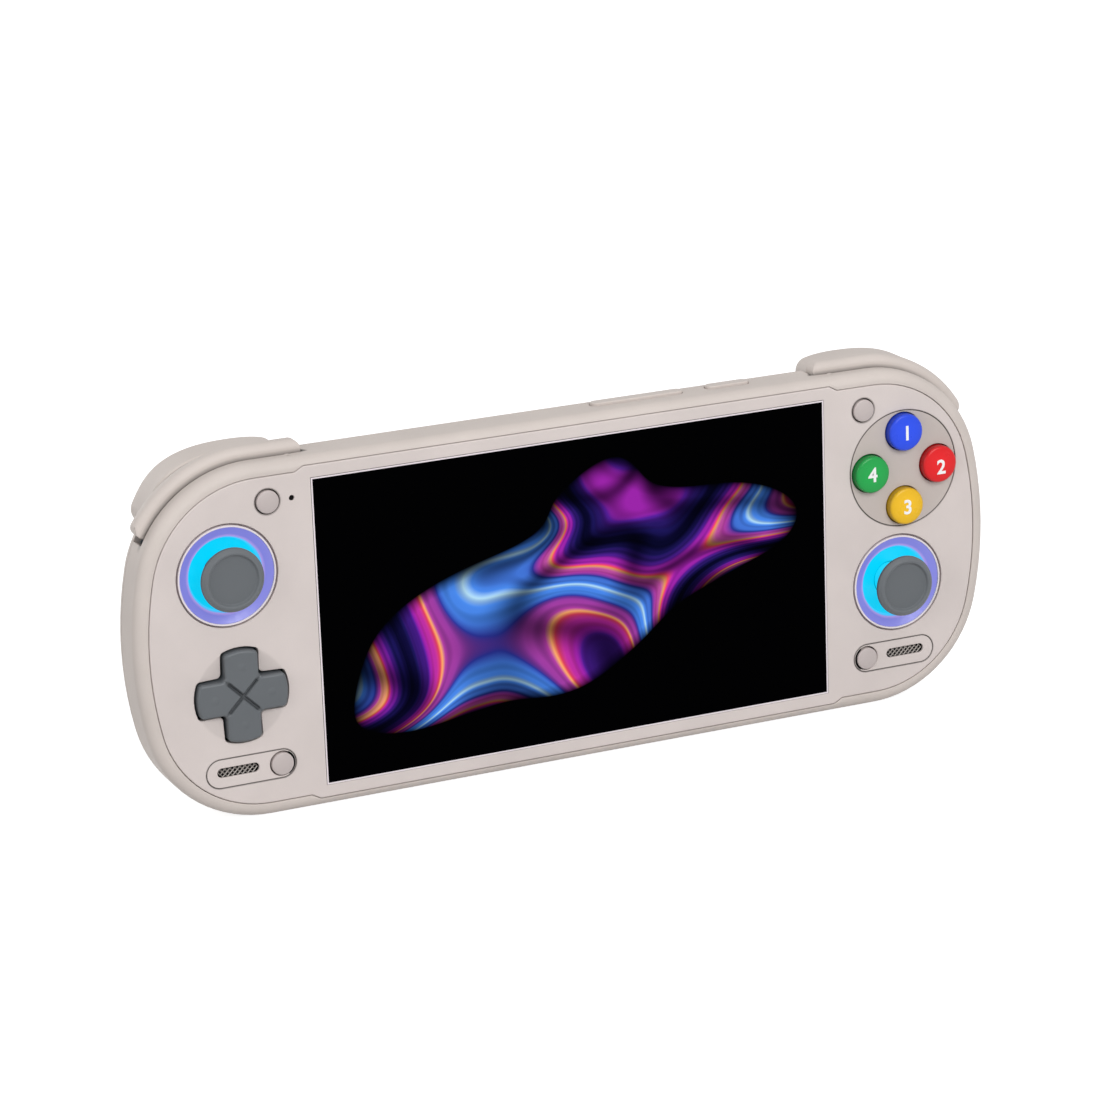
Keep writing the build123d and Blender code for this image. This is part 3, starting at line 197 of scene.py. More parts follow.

# Stick cap, face buttons and cross: the depths or places over which painted shade falls on the cap's and the
# buttons' sides and in the cross's grooves, over which the plate's darker disc round the cross fades, and how
# deep the cross's grooves are and how high its dimples
CAP_SIDE_SHADE_DEPTHS = (-3.7, -3.2)
BUTTON_SIDE_SHADE_DEPTHS = (-2.1, -1.2)
DARK_DISC_EDGE = (9.9, 10.5)
DARK_DISC_STRENGTH = 0.11
GROOVE_WIDTH = (0.1, 0.85)
GROOVE_END = (3.3, 4.1)
GROOVE_SHADE_STRENGTH = 0.62
GROOVE_DEPTH = 0.45
DIMPLE_PLACE = 6.4
DIMPLE_WIDTH = (0.2, 1.0)
DIMPLE_RISE = 0.10

# Plastic and rubber grain: the sizes of its specks and patches
PLASTIC_GRAIN = 0.22
PLASTIC_PATCHES = 14
CROSS_GRAIN = 0.18
CROSS_GRAIN_DEPTH = 0.02
CROSS_PATCHES = 9
RUBBER_PEBBLES = 0.30
RUBBER_PATCHES = 6

# Picture on the screen: sizes of its swells, folds and silk, how far one bends the next,
# its repeats, its place on the glass, and its tones across one band
SWELL_SIZE = 46
FOLD_SIZE = 34
FOLD_STRETCH = (0.8, 1, 1.25)
FOLD_BEND = 60
SILK_SIZE = 52
SILK_BEND = 44
BAND_COUNT = 9.0
BAND_START = 0.45
RIPPLE_COUNT = 260.0
RIPPLE_HEIGHT = 0.035
THREAD_COUNT = 520.0
GLOSS_COUNT = 30.0
GLOSS_START = 0.7
PICTURE_LEAN = -0.42
PICTURE_HEIGHT = 0.62
PICTURE_LENGTH = 0.86
PICTURE_EDGE = (0.80, 1.06)
PICTURE_TONES = (
    (0.0, (0.002, 0.002, 0.02)),
    (0.20, (0.012, 0.008, 0.10)),
    (0.36, (0.10, 0.015, 0.34)),
    (0.46, (0.42, 0.02, 0.42)),
    (0.54, (0.95, 0.07, 0.14)),
    (0.60, (1.0, 0.42, 0.14)),
    (0.66, (0.45, 0.05, 0.36)),
    (0.80, (0.03, 0.04, 0.36)),
    (0.92, (0.07, 0.26, 0.86)),
    (1.0, (0.50, 0.80, 1.0)),
)

# Screen lip: how far it runs over and under the glass's edge, its depth behind the face and its thickness
LIP_OVERLAP = 0.04
LIP_WIDTH = 0.30
LIP_DEPTH = 0.03
LIP_THICKNESS = 0.06

# Small parts
GRILLE_PITCH = 0.80
GRILLE_WIRE = 0.27
MARK_SIZE = 4.6
MARK_RISE = 0.06
MARK_WEIGHT = 0.10
MARK_GAP = 0.01
# Dark crosses on the screw heads, painted shade for their recesses: length, width, thickness and how far in
# from the heads' backs
RECESS_SHADE_LENGTH = 2.1
RECESS_SHADE_WIDTH = 0.5
RECESS_SHADE_HEIGHT = 0.04
RECESS_SHADE_DEPTH = 0.01
SCREW_HEAD_REACH = 6.0
SCREW_HEAD_DEPTH = 0.05
CONTACT_COUNT = 12
CONTACT_PITCH = 0.5
CONTACT_SIZE = (0.26, 0.04, 3.0)
CONTACT_OFFSET = 0.35
CONTACT_RISE = 2.8


# Meshes

def centre_of(node):
    """Where a round piece's axis crosses the face."""
    low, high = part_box(node)
    return Vector(((low.x + high.x) / 2, face_y, (low.z + high.z) / 2))


def bevel(bm, edges, width, segments):
    """Rounds edges, with a width in millimetres."""
    bmesh.ops.bevel(
        bm, geom=edges, offset=width * MM, offset_type="OFFSET", segments=segments,
        profile=0.5, affect="EDGES", clamp_overlap=False, material=-1, loop_slide=True,
    )


def soften(bm, width, segments=2):
    """Rounds every sharp edge."""
    sharp = [
        edge for edge in bm.edges
        if len(edge.link_faces) == 2 and edge.calc_face_angle(0) > math.radians(ROUNDED_ANGLE)
    ]
    bevel(bm, sharp, width, segments)


def finish_mesh(bm, name):
    """Turns a bmesh into a mesh that is smooth but for its sharp edges."""
    mesh = bpy.data.meshes.new(name)
    bm.to_mesh(mesh)
    bm.free()
    for polygon in mesh.polygons:
        polygon.use_smooth = True
    mesh.set_sharp_from_angle(angle=math.radians(SHARP_ANGLE))
    return mesh


def linked(name, data):
    """A new object in the scene."""
    thing = bpy.data.objects.new(name, data)
    bpy.context.scene.collection.objects.link(thing)
    return thing


def piece_of(mesh, body, material):
    """A piece that rides on a body and takes its finish from a slot."""
    piece = linked(mesh.name, mesh)
    mesh.materials.append(material)
    weighted = piece.modifiers.new("flat faces stay flat", "WEIGHTED_NORMAL")
    weighted.keep_sharp = True
    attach(piece, body)
    return piece


def stand_in(mesh, node, material):
    """A piece in place of one CAD node."""
    piece = piece_of(mesh, body_of[node], material)
    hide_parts(node)


def merged_copy(node, cuts=()):
    """A bmesh of a CAD node with its loose triangles merged and its flats made whole.

    Cuts are places along the case where flats stay apart, so that none runs round a hole.
    """
    bm = bmesh.new()
    bm.from_mesh(frame["nodes"][node].data)
    bmesh.ops.remove_doubles(bm, verts=bm.verts, dist=MERGE_REACH * MM)
    for x in cuts:
        made = bmesh.ops.bisect_plane(
            bm, geom=bm.verts[:] + bm.edges[:] + bm.faces[:], dist=CUT_REACH * MM,
            plane_co=(x, 0, 0), plane_no=(1, 0, 0),
        )
        for item in made["geom_cut"]:
            if isinstance(item, bmesh.types.BMEdge):
                item.seam = True
    bmesh.ops.dissolve_limit(
        bm, angle_limit=math.radians(FLAT_ANGLE), verts=bm.verts, edges=bm.edges,
        use_dissolve_boundaries=False, delimit={"SEAM"},
    )
    return bm


def shell(node, name, width, material, segments=2, cuts=()):
    """A merged and softened copy of a CAD node that stands for it."""
    bm = merged_copy(node, cuts)
    soften(bm, width, segments)
    stand_in(finish_mesh(bm, name), node, material)


def add_block(bm, place, size):
    """Adds a box at a place in metres, with its size in millimetres."""
    made = bmesh.ops.create_cube(bm, size=1.0)
    scale = Matrix.Diagonal((*(side * MM for side in size), 1))
    bmesh.ops.transform(bm, matrix=Matrix.Translation(place) @ scale, verts=made["verts"])


# Materials

class Wiring:
    """One material's nodes, with object coordinates to start from."""

    def __init__(self, name):
        self.material = bpy.data.materials.new(name)
        self.material.use_nodes = True
        self.tree = self.material.node_tree
        self.shader = self.tree.nodes["Principled BSDF"]
        self.place = self.add("ShaderNodeTexCoord").outputs["Object"]

    def add(self, kind, **settings):
        node = self.tree.nodes.new(kind)
        for setting, value in settings.items():
            setattr(node, setting, value)
        return node

    def feed(self, socket, value):
        """Links a socket to another one, or gives it a constant."""
        if isinstance(value, bpy.types.NodeSocket):
            self.tree.links.new(value, socket)
        else:
            socket.default_value = value

    def math(self, operation, *values, clamp=False):
        node = self.add("ShaderNodeMath", operation=operation, use_clamp=clamp)
        for socket, value in zip(node.inputs, values):
            self.feed(socket, value)
        return node.outputs[0]

    def product(self, first, *others):
        """Values from 0 to 1 multiplied together."""
        for value in others:
            first = self.math("MULTIPLY", first, value, clamp=True)
        return first

    def squares(self, first, second):
        """The sum of two values' squares."""
        return self.math("ADD", self.math("POWER", first, 2.0), self.math("POWER", second, 2.0))

    def distance(self, first, second):
        """The length of a step with two parts at right angles."""
        return self.math("SQRT", self.squares(first, second))

    def axes(self, vector=None):
        """The X, Y and Z of a place."""
        split = self.add("ShaderNodeSeparateXYZ")
        self.feed(split.inputs[0], vector or self.place)
        return split.outputs["X"], split.outputs["Y"], split.outputs["Z"]

    def from_point(self, axis, start, scale=MM):
        """How far a place lies beyond a point on one axis, in millimetres unless scaled otherwise."""
        return self.math("DIVIDE", self.math("SUBTRACT", axis, start), scale)

    def noise(self, size, detail=2.0, stretch=None, vector=None):
        """Noise with patches of a size in millimetres, from 0 to 1."""
        node = self.add("ShaderNodeTexNoise")
        source = vector or self.place
        if stretch:
            mapping = self.add("ShaderNodeMapping")
            self.feed(mapping.inputs["Vector"], source)
            mapping.inputs["Scale"].default_value = stretch
            source = mapping.outputs["Vector"]
        self.feed(node.inputs["Vector"], source)
        node.inputs["Scale"].default_value = 1 / (size * MM)
        node.inputs["Detail"].default_value = detail
        return node.outputs["Fac"]

    def spread(self, value, low, high, source_low=0.0, source_high=1.0):
        """A value moved from one range to another, and held inside it."""
        node = self.add("ShaderNodeMapRange")
        for socket, number in zip(node.inputs, (value, source_low, source_high, low, high)):
            self.feed(socket, number)
        return node.outputs["Result"]

    def uneven(self, field, low, high):
        """A value that follows a noise field from low to high."""
        return self.spread(field, low, high, 0.3, 0.7)

    def by_depth(self, low, high, start, end):
        """A value that changes between two depths behind the face."""
        return self.spread(self.axes()[1], low, high, face_y + start * MM, face_y + end * MM)

    def blend(self, factor, first, second):
        """A colour between two colours."""
        node = self.add("ShaderNodeMix", data_type="RGBA")
        self.feed(node.inputs["Factor"], factor)
        for name, value in (("A", first), ("B", second)):
            pick = [socket for socket in node.inputs if socket.name == name and socket.type == "RGBA"][0]
            self.feed(pick, value if isinstance(value, bpy.types.NodeSocket) else (*value, 1))
        return [socket for socket in node.outputs if socket.type == "RGBA"][0]

    def ramp(self, value, *stops):
        """A colour picked along (place, colour) stops."""
        node = self.add("ShaderNodeValToRGB")
        self.feed(node.inputs["Fac"], value)
        elements = node.color_ramp.elements
        while len(elements) < len(stops):
            elements.new(0.5)
        for element, (place, color) in zip(elements, stops):
            element.position = place
            element.color = (*color, 1)
        return node.outputs["Color"]

    def bump(self, height, depth):
        """A raised pattern, with a depth in millimetres."""
        node = self.add("ShaderNodeBump")
        node.inputs["Distance"].default_value = depth * MM
        node.inputs["Strength"].default_value = 1.0
        self.feed(node.inputs["Height"], height)
        self.feed(self.shader.inputs["Normal"], node.outputs["Normal"])

    def set(self, **values):
        """Constants or links on the shader's own sockets, by name with underscores."""
        for name, value in values.items():
            socket = self.shader.inputs[name.replace("_", " ")]
            if isinstance(value, tuple) and len(value) == 3:
                value = (*value, 1)
            self.feed(socket, value)

    def radius_from(self, centre):
        """The distance from an axis that runs straight back from the face, in millimetres."""
        mapping = self.add("ShaderNodeMapping")
        self.feed(mapping.inputs["Vector"], self.place)
        mapping.inputs["Location"].default_value = (-centre.x, 0, -centre.z)
        flat = self.add("ShaderNodeVectorMath", operation="MULTIPLY")
        self.feed(flat.inputs[0], mapping.outputs["Vector"])
        flat.inputs[1].default_value = (1 / MM, 0, 1 / MM)
        length = self.add("ShaderNodeVectorMath", operation="LENGTH")
        self.feed(length.inputs[0], flat.outputs["Vector"])
        return length.outputs["Value"]


def tinted(color, share):
    """A colour made lighter or darker by a share."""
    return tuple(min(1.0, channel * (1 + share)) for channel in color)


def bumper_seam_shade(wiring):
    """How dark the painted shade is at a spot, from the seam beside a bumper and the notch shape at its inner
    end, from 0 to 1.
    """
    x, y, z = wiring.axes()
    across = wiring.math("DIVIDE", wiring.math("ABSOLUTE", x), MM)
    upward = wiring.math("DIVIDE", z, MM)
    behind = wiring.from_point(y, bumper_seam_y)
    past_x = wiring.math("MAXIMUM", wiring.math("SUBTRACT", across, SHOULDER_CENTRE[0]), 0.0)
    past_z = wiring.math("SUBTRACT", upward, SHOULDER_CENTRE[1])
    rise = wiring.math("SUBTRACT", wiring.distance(past_x, past_z), SHOULDER_RADIUS)
    seam = wiring.product(
        wiring.spread(rise, 1, 0, *SEAM_RISE),
        wiring.spread(wiring.math("ABSOLUTE", behind), 1, 0, *SEAM_WIDTH),
        wiring.spread(across, 0, 1, *SEAM_START),
        wiring.spread(upward, 0, 1, *SEAM_FOOT),
    )
    past_end = wiring.math("SUBTRACT", bumper_end, across)
    wedge = wiring.math(
        "ADD", wiring.math("DIVIDE", past_end, NOTCH_LENGTH), wiring.math("DIVIDE", behind, NOTCH_WIDTH),
    )
    notch_shade = wiring.product(
        wiring.spread(behind, 0, 1, *NOTCH_FRONT),
        wiring.spread(past_end, 0, 1, *NOTCH_END),
        wiring.spread(upward, 0, 1, *NOTCH_FOOT),
        wiring.spread(wedge, 1, 0, *NOTCH_SIDE),
    )
    return wiring.math(
        "MAXIMUM", wiring.product(seam, SEAM_SHADE_STRENGTH), wiring.product(notch_shade, NOTCH_SHADE_STRENGTH),
    )


def rim_seam_shade(node, reach, share, flange=0.0):
    """Painted shade in the seam round a round or pill-shaped piece, with its reach in millimetres."""
    low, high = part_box(node)
    middle = (low + high) / 2
    end_radius = (high.z - low.z) / 2 / MM - flange
    straight = max((high.x - low.x) / 2 / MM - flange - end_radius, 0.0)

    def shade(wiring):
        x, _, z = wiring.axes()
        beside = wiring.math("ABSOLUTE", wiring.from_point(x, middle.x))
        past_x = wiring.math("MAXIMUM", wiring.math("SUBTRACT", beside, straight), 0.0)
        radius = wiring.distance(past_x, wiring.from_point(z, middle.z))
        off_line = wiring.math("ABSOLUTE", wiring.math("SUBTRACT", radius, end_radius + RIM_OFFSET))
        return wiring.product(wiring.spread(off_line, 1, 0, reach / 2, reach), share)

    return shade


def cross_dark_disc(wiring):
    """A slightly darker disc on the plate round the cross."""
    return wiring.spread(wiring.radius_from(centre_of("dpad")), DARK_DISC_STRENGTH, 0.0, *DARK_DISC_EDGE)


def plate_shades():
    """The front plate's darker marks, each with its colour: painted shade in the seams round the disc, the
    speaker plates and the menu buttons, and a slightly darker disc round the cross.
    """
    disc_seam_shade = rim_seam_shade("button_disc", reach=0.30, share=0.60, flange=DISC_FLANGE)
    shades = [(cross_dark_disc, BLACK), (disc_seam_shade, SEAM)]
    for side in SIDES:
        shades.append((rim_seam_shade(f"speaker_plate_{side}", reach=0.30, share=0.62), SEAM))
        button_seam_shade = rim_seam_shade(f"menu_button_{side}", reach=0.26, share=0.50, flange=BUTTON_FLANGE)
        shades.append((button_seam_shade, SEAM))
    return shades


def moulded(name, color, roughness, grain_depth=0.010, mottle=0.035, shades=()):
    """Matte moulded plastic: a fine spark-eroded grain, slight mottle and uneven sheen."""
    wiring = Wiring(name)
    patches = wiring.noise(PLASTIC_PATCHES, detail=3)
    fine = wiring.noise(PLASTIC_GRAIN, detail=3)
    body = wiring.blend(wiring.uneven(patches, 0, 1), tinted(color, -mottle), tinted(color, mottle))
    # Darker marks over the body's colour, such as painted shade in seams
    for shade, shade_color in shades:
        body = wiring.blend(shade(wiring), body, shade_color)
    wiring.set(
        Base_Color=wiring.blend(wiring.spread(fine, 0, 0.10, 0.55, 0.8), body, tinted(color, -0.35)),
        Roughness=wiring.uneven(fine, roughness - 0.06, roughness + 0.06),
    )
    wiring.bump(fine, grain_depth)
    return wiring.material


def rubber_skin(wiring):
    """Soft-touch rubber's very fine pebbling and uneven sheen. Returns its patches of tone."""
    pebbles = wiring.noise(RUBBER_PEBBLES, detail=2)
    patches = wiring.noise(RUBBER_PATCHES, detail=3)
    wiring.set(Roughness=wiring.uneven(patches, 0.56, 0.70), Sheen_Roughness=0.5)
    wiring.bump(pebbles, 0.02)
    return patches


def rubbery(name, color):
    """Soft-touch rubber in one colour."""
    wiring = Wiring(name)
    patches = rubber_skin(wiring)
    wiring.set(
        Base_Color=wiring.blend(patches, tinted(color, -0.08), tinted(color, 0.08)),
        Sheen_Weight=0.12,
    )
    return wiring.material


def cap_rubber(name):
    """The stick cap's rubber, with painted shade round its side and the ring's light on the dome under it."""
    wiring = Wiring(name)
    patches = rubber_skin(wiring)
    top = wiring.blend(patches, tinted(SLATE, -0.12), tinted(SLATE, 0.02))
    # Painted shade round the cap's side
    side_shade = wiring.by_depth(0, 0.55, *CAP_SIDE_SHADE_DEPTHS)
    dome = wiring.by_depth(0, 1, *RING_DEPTHS)
    wiring.set(
        Base_Color=wiring.blend(dome, wiring.blend(side_shade, top, BLACK), tinted(CYAN, -0.75)),
        Emission_Color=wiring.blend(dome, BLACK, CYAN),
        Emission_Strength=RING_GLOW,
        Sheen_Weight=wiring.spread(dome, 0.12, 0.0),
    )
    return wiring.material


def glossy(name, color, shine=0.30):
    """Polished moulded plastic under a clear skin, with painted shade on its side towards the face."""
    wiring = Wiring(name)
    # Painted shade: the side near the face is darker, the top keeps the full colour
    rise = wiring.by_depth(1.0, 0.0, *BUTTON_SIDE_SHADE_DEPTHS)
    wiring.set(
        Base_Color=wiring.blend(rise, tinted(color, -0.45), color),
        Roughness=wiring.uneven(wiring.noise(2.5, detail=2), 0.26, 0.36),
        Specular_IOR_Level=shine,
    )
    wiring.bump(wiring.noise(0.5, detail=1), 0.0015)
    return wiring.material


def metal(name, color, roughness, stretch=(1, 1, 12), grain=0.4):
    """Bare metal with a drawn or brushed grain."""
    wiring = Wiring(name)
    strokes = wiring.noise(grain, detail=3, stretch=stretch)
    wiring.set(
        Base_Color=wiring.blend(strokes, tinted(color, -0.12), tinted(color, 0.08)),
        Metallic=1.0,
        Roughness=wiring.uneven(strokes, roughness - 0.07, roughness + 0.08),
    )
    wiring.bump(strokes, 0.004)
    return wiring.material


def light_guide(name, centre):
    """The lit ring round a stick: violet outside and cyan inside, by distance from its axis."""
    wiring = Wiring(name)
    radius = wiring.radius_from(centre)
    haze = wiring.noise(1.6, detail=2)
    wander = wiring.math("ADD", radius, wiring.spread(haze, -0.12, 0.12))
    glow = wiring.ramp(wiring.spread(wander, 0, 1, *RING_RADII), *RING_TONES)
    front = wiring.by_depth(1, 0, *RING_DEPTHS)
    inner = wiring.spread(radius, 1, 0, *RING_WALL)
    wiring.set(
        Base_Color=wiring.blend(0.75, glow, BLACK),
        Roughness=wiring.uneven(haze, 0.28, 0.40),
        Emission_Color=wiring.blend(wiring.math("MAXIMUM", front, inner), BLACK, glow),
        Emission_Strength=RING_GLOW,
    )
    return wiring.material


def lit_inside(name):
    """The stick module's black plastic, with the ring's light on what lies near its opening."""
    wiring = Wiring(name)
    fine = wiring.noise(PLASTIC_GRAIN, detail=3)
    wiring.set(
        Base_Color=wiring.blend(fine, (0.020, 0.019, 0.018), (0.026, 0.025, 0.024)),
        Roughness=wiring.uneven(fine, 0.44, 0.56),
        Emission_Color=wiring.blend(wiring.by_depth(1, 0, *MODULE_DEPTHS), BLACK, CYAN),
        Emission_Strength=MODULE_GLOW,
    )
    wiring.bump(fine, 0.010)
    return wiring.material


def drifted(wiring, field, reach):
    """The place moved along by a field, so that the next noise bends round it."""
    shift = wiring.add("ShaderNodeCombineXYZ")
    wiring.feed(shift.inputs["X"], wiring.math("MULTIPLY", field, reach * MM))
    wiring.feed(shift.inputs["Z"], wiring.math("MULTIPLY", field, -0.6 * reach * MM))
    moved = wiring.add("ShaderNodeVectorMath", operation="ADD")
    wiring.feed(moved.inputs[0], wiring.place)
    wiring.feed(moved.inputs[1], shift.outputs["Vector"])
    return moved.outputs["Vector"]


def screen_picture(name):
    """Black display glass with a lit picture: folds of coloured silk on black."""
    wiring = Wiring(name)
    low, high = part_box("display_glass")
    middle = (low + high) / 2
    half = (high - low) / 2
    x, _, z = wiring.axes()
    across = wiring.from_point(x, middle.x, half.x)
    upward = wiring.from_point(z, middle.z, half.z)

    # Folds: noise that bends round wider noise, with fine strands along it
    swell = wiring.noise(SWELL_SIZE, detail=0)
    bent = drifted(wiring, swell, FOLD_BEND)
    fold = wiring.noise(FOLD_SIZE, detail=0, stretch=FOLD_STRETCH, vector=bent)
    silk = wiring.noise(SILK_SIZE, detail=0, vector=drifted(wiring, fold, SILK_BEND))
    wave = wiring.math("MULTIPLY_ADD", silk, BAND_COUNT, BAND_START)
    ripple = wiring.math("SINE", wiring.math("MULTIPLY", silk, RIPPLE_COUNT))
    strands = wiring.math("MULTIPLY_ADD", ripple, RIPPLE_HEIGHT, wave)
    tone = wiring.ramp(wiring.math("PINGPONG", strands, 1.0), *PICTURE_TONES)
    threads = wiring.math("SINE", wiring.math("MULTIPLY", silk, THREAD_COUNT))
    gloss = wiring.math("SINE", wiring.math("MULTIPLY_ADD", fold, GLOSS_COUNT, GLOSS_START))
    lit = wiring.math(
        "MULTIPLY", wiring.spread(threads, 0.72, 1.0, -1, 0.6), wiring.spread(gloss, 0.25, 1.15, -1, 1),
    )

    # Outline: an ellipse that leans upwards to the right, with its edge moved by the folds
    slope = wiring.math("MULTIPLY_ADD", across, PICTURE_LEAN, upward)
    pushed = wiring.math("ADD", slope, wiring.spread(fold, 0.35, -0.35))
    height = wiring.math("DIVIDE", pushed, PICTURE_HEIGHT)
    length = wiring.math("DIVIDE", across, PICTURE_LENGTH)
    cloth = wiring.spread(wiring.squares(height, length), 1, 0, *PICTURE_EDGE)
    wiring.set(
        Base_Color=(0.0006, 0.0006, 0.0008),
        Roughness=wiring.uneven(wiring.noise(20), 0.06, 0.09),
        Emission_Color=wiring.blend(wiring.product(lit, cloth), BLACK, tone),
        Emission_Strength=1.0,
        Specular_IOR_Level=0.0,
    )
    return wiring.material


def cross_plastic():
    """The cross's plastic, with its crossed grooves bumped in and darkened by painted shade, and a faint
    dimple on each arm.
    """
    wiring = Wiring("cross plastic")
    centre = centre_of("dpad")
    x, _, z = wiring.axes()
    across = wiring.math("ABSOLUTE", wiring.from_point(x, centre.x))
    upward = wiring.math("ABSOLUTE", wiring.from_point(z, centre.z))
    farther = wiring.math("MAXIMUM", across, upward)
    nearer = wiring.math("MINIMUM", across, upward)
    off_line = wiring.math("ABSOLUTE", wiring.math("SUBTRACT", across, upward))
    groove_and_shade = wiring.product(
        wiring.spread(off_line, 1, 0, *GROOVE_WIDTH), wiring.spread(farther, 1, 0, *GROOVE_END),
    )
    from_dot = wiring.distance(wiring.math("SUBTRACT", farther, DIMPLE_PLACE), nearer)
    dimple = wiring.spread(from_dot, 1, 0, *DIMPLE_WIDTH)
    fine = wiring.noise(CROSS_GRAIN, detail=3)
    patches = wiring.noise(CROSS_PATCHES, detail=3)
    body = wiring.blend(patches, tinted(SLATE, -0.24), tinted(SLATE, -0.14))
    wiring.set(
        # The grooves' darker colour is painted shade; their depth is a bump
        Base_Color=wiring.blend(wiring.product(groove_and_shade, GROOVE_SHADE_STRENGTH), body, tinted(SLATE, -0.7)),
        Roughness=wiring.uneven(fine, 0.44, 0.56),
    )
    grain = wiring.math("MULTIPLY", fine, CROSS_GRAIN_DEPTH)
    carved = wiring.math("SUBTRACT", grain, wiring.math("MULTIPLY", groove_and_shade, GROOVE_DEPTH))
    wiring.bump(wiring.math("ADD", carved, wiring.math("MULTIPLY", dimple, DIMPLE_RISE)), 1.0)
    return wiring.material


def circuit_board(name):
    """Solder mask with a fine pattern of tracks under it."""
    wiring = Wiring(name)
    grid = wiring.add("ShaderNodeTexVoronoi", distance="MANHATTAN", feature="DISTANCE_TO_EDGE")
    wiring.feed(grid.inputs["Vector"], wiring.place)
    grid.inputs["Scale"].default_value = 1 / (1.6 * MM)
    tracks = wiring.spread(grid.outputs["Distance"], 1, 0, 0.02, 0.08)
    wiring.set(
        Base_Color=wiring.blend(tracks, (0.012, 0.085, 0.045), (0.03, 0.17, 0.08)),
        Roughness=wiring.uneven(wiring.noise(5), 0.32, 0.45),
    )
    wiring.bump(tracks, 0.02)
    return wiring.material


# Case plastic, with painted shade in the bumper seams and at the bumpers' inner ends
case_plastic = moulded("case plastic", CASE, 0.58, shades=[(bumper_seam_shade, SEAM)])
plate_plastic = moulded("front plate plastic", PLATE, 0.60, shades=plate_shades())
# Painted shade in the seam round the disc
disc_rim_shade = rim_seam_shade("button_disc", reach=0.20, share=0.62, flange=DISC_FLANGE)
disc_plastic = moulded("disc plastic", DISC, 0.62, shades=[(disc_rim_shade, SEAM)])
key_plastic = moulded("key plastic", tinted(CASE, -0.02), 0.52)
# Small buttons, in the plate's tone darkened as painted shade
small_key_plastic = moulded("small key plastic", SHADED_KEYS, 0.42, grain_depth=0.006)
cream_plastic = moulded("cream ring plastic", CREAM, 0.45, grain_depth=0.004)
module_plastic = lit_inside("stick module plastic")
black_plastic = moulded("black plastic", (0.022, 0.021, 0.020), 0.5)
grille_metal = metal("grille wire", (0.42, 0.39, 0.37), 0.45, stretch=(1, 1, 1))
steel = metal("plain steel", (0.56, 0.55, 0.53), 0.32)
gold = metal("gold plate", (0.83, 0.60, 0.28), 0.25)
picture_glass = screen_picture("display picture")
mark_white = moulded("mark white", (0.86, 0.86, 0.86), 0.35, grain_depth=0.002, mottle=0.01)

# Finishes of the CAD nodes that stay as they are, by slot
SLOT_FINISHES = {
    "magnesium": metal("cast light alloy", (0.50, 0.51, 0.52), 0.5, stretch=(1, 1, 1), grain=1.2),
    "steel": steel,
    "black_plastic": black_plastic,
    "silicone": rubbery("silicone", (0.42, 0.42, 0.41)),
    "board": circuit_board("circuit board"),
    "cell": metal("pouch foil", (0.42, 0.43, 0.44), 0.38, stretch=(1, 1, 2), grain=3.0),
    "copper": metal("copper sheet", (0.72, 0.40, 0.25), 0.35),
    "lens": glossy("dark lens", (0.006, 0.005, 0.005), shine=0.05),
    "panel": moulded("panel black", (0.02, 0.02, 0.024), 0.35),
}
STICK_MODULE_NODES = ("stick_housing", "stick_gimbal", "stick_cradle")


# Pieces

def make_case():
    """Frame, cover and plate, with their edges broken."""
    wells = [x + turn * SCREW_WELL_REACH for x in SCREW_PLACES for turn in (-1, 1)]
    first_vent = centre_of("heat_spreader").x / MM - (VENT_COUNT - 1) / 2 * VENT_PITCH
    vents = [first_vent + step * VENT_PITCH for step in range(VENT_COUNT)]
    openings = [
        centre_of(node).x / MM
        for node in ("volume_rocker", "power_button", "usb_port", "audio_jack", "card_slot")
    ]
    make_front_frame([x * MM for x in (*SCREW_PLACES, *openings)])
    shell(
        "rear_cover", "rear_cover_shell", ROUNDING["rear_cover"], case_plastic,
        cuts=[x * MM for x in (*SCREW_PLACES, *wells, *vents)],
    )
    shell("front_plate", "front_plate_shell", ROUNDING["front_plate"], plate_plastic)
    shell("button_disc", "button_disc_shell", ROUNDING["button_disc"], disc_plastic)
    shell("display_glass", "display_glass_pane", ROUNDING["display_glass"], picture_glass)


def make_front_frame(cuts):
    """The front frame, rounded where it meets the bumpers so that a dark seam runs beside them, deepened by
    painted shade in the case plastic.
    """
    bm = merged_copy("front_frame", cuts)
    pin_low, pin_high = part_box("bumper_pins")
    bore_x = pin_high.x - PIN_BORE_STEP * MM
    bore_z = (pin_low.z + pin_high.z) / 2

    def on_rim(point):
        """Whether a point lies on the rim beside the bumpers and clear of the pins' bores."""
        from_bore = math.hypot(abs(point.x) - bore_x, point.z - bore_z)
        return abs(point.y - bumper_seam_y) < RIM_REACH * MM and from_bore > PIN_BORE_CLEAR * MM

    rim = [
        edge for edge in bm.edges
        if len(edge.link_faces) == 2 and edge.is_convex and all(on_rim(vertex.co) for vertex in edge.verts)
    ]
    bevel(bm, rim, RIM_ROUNDING, 4)
    soften(bm, ROUNDING["front_frame"])
    stand_in(finish_mesh(bm, "front_frame_shell"), "front_frame", case_plastic)


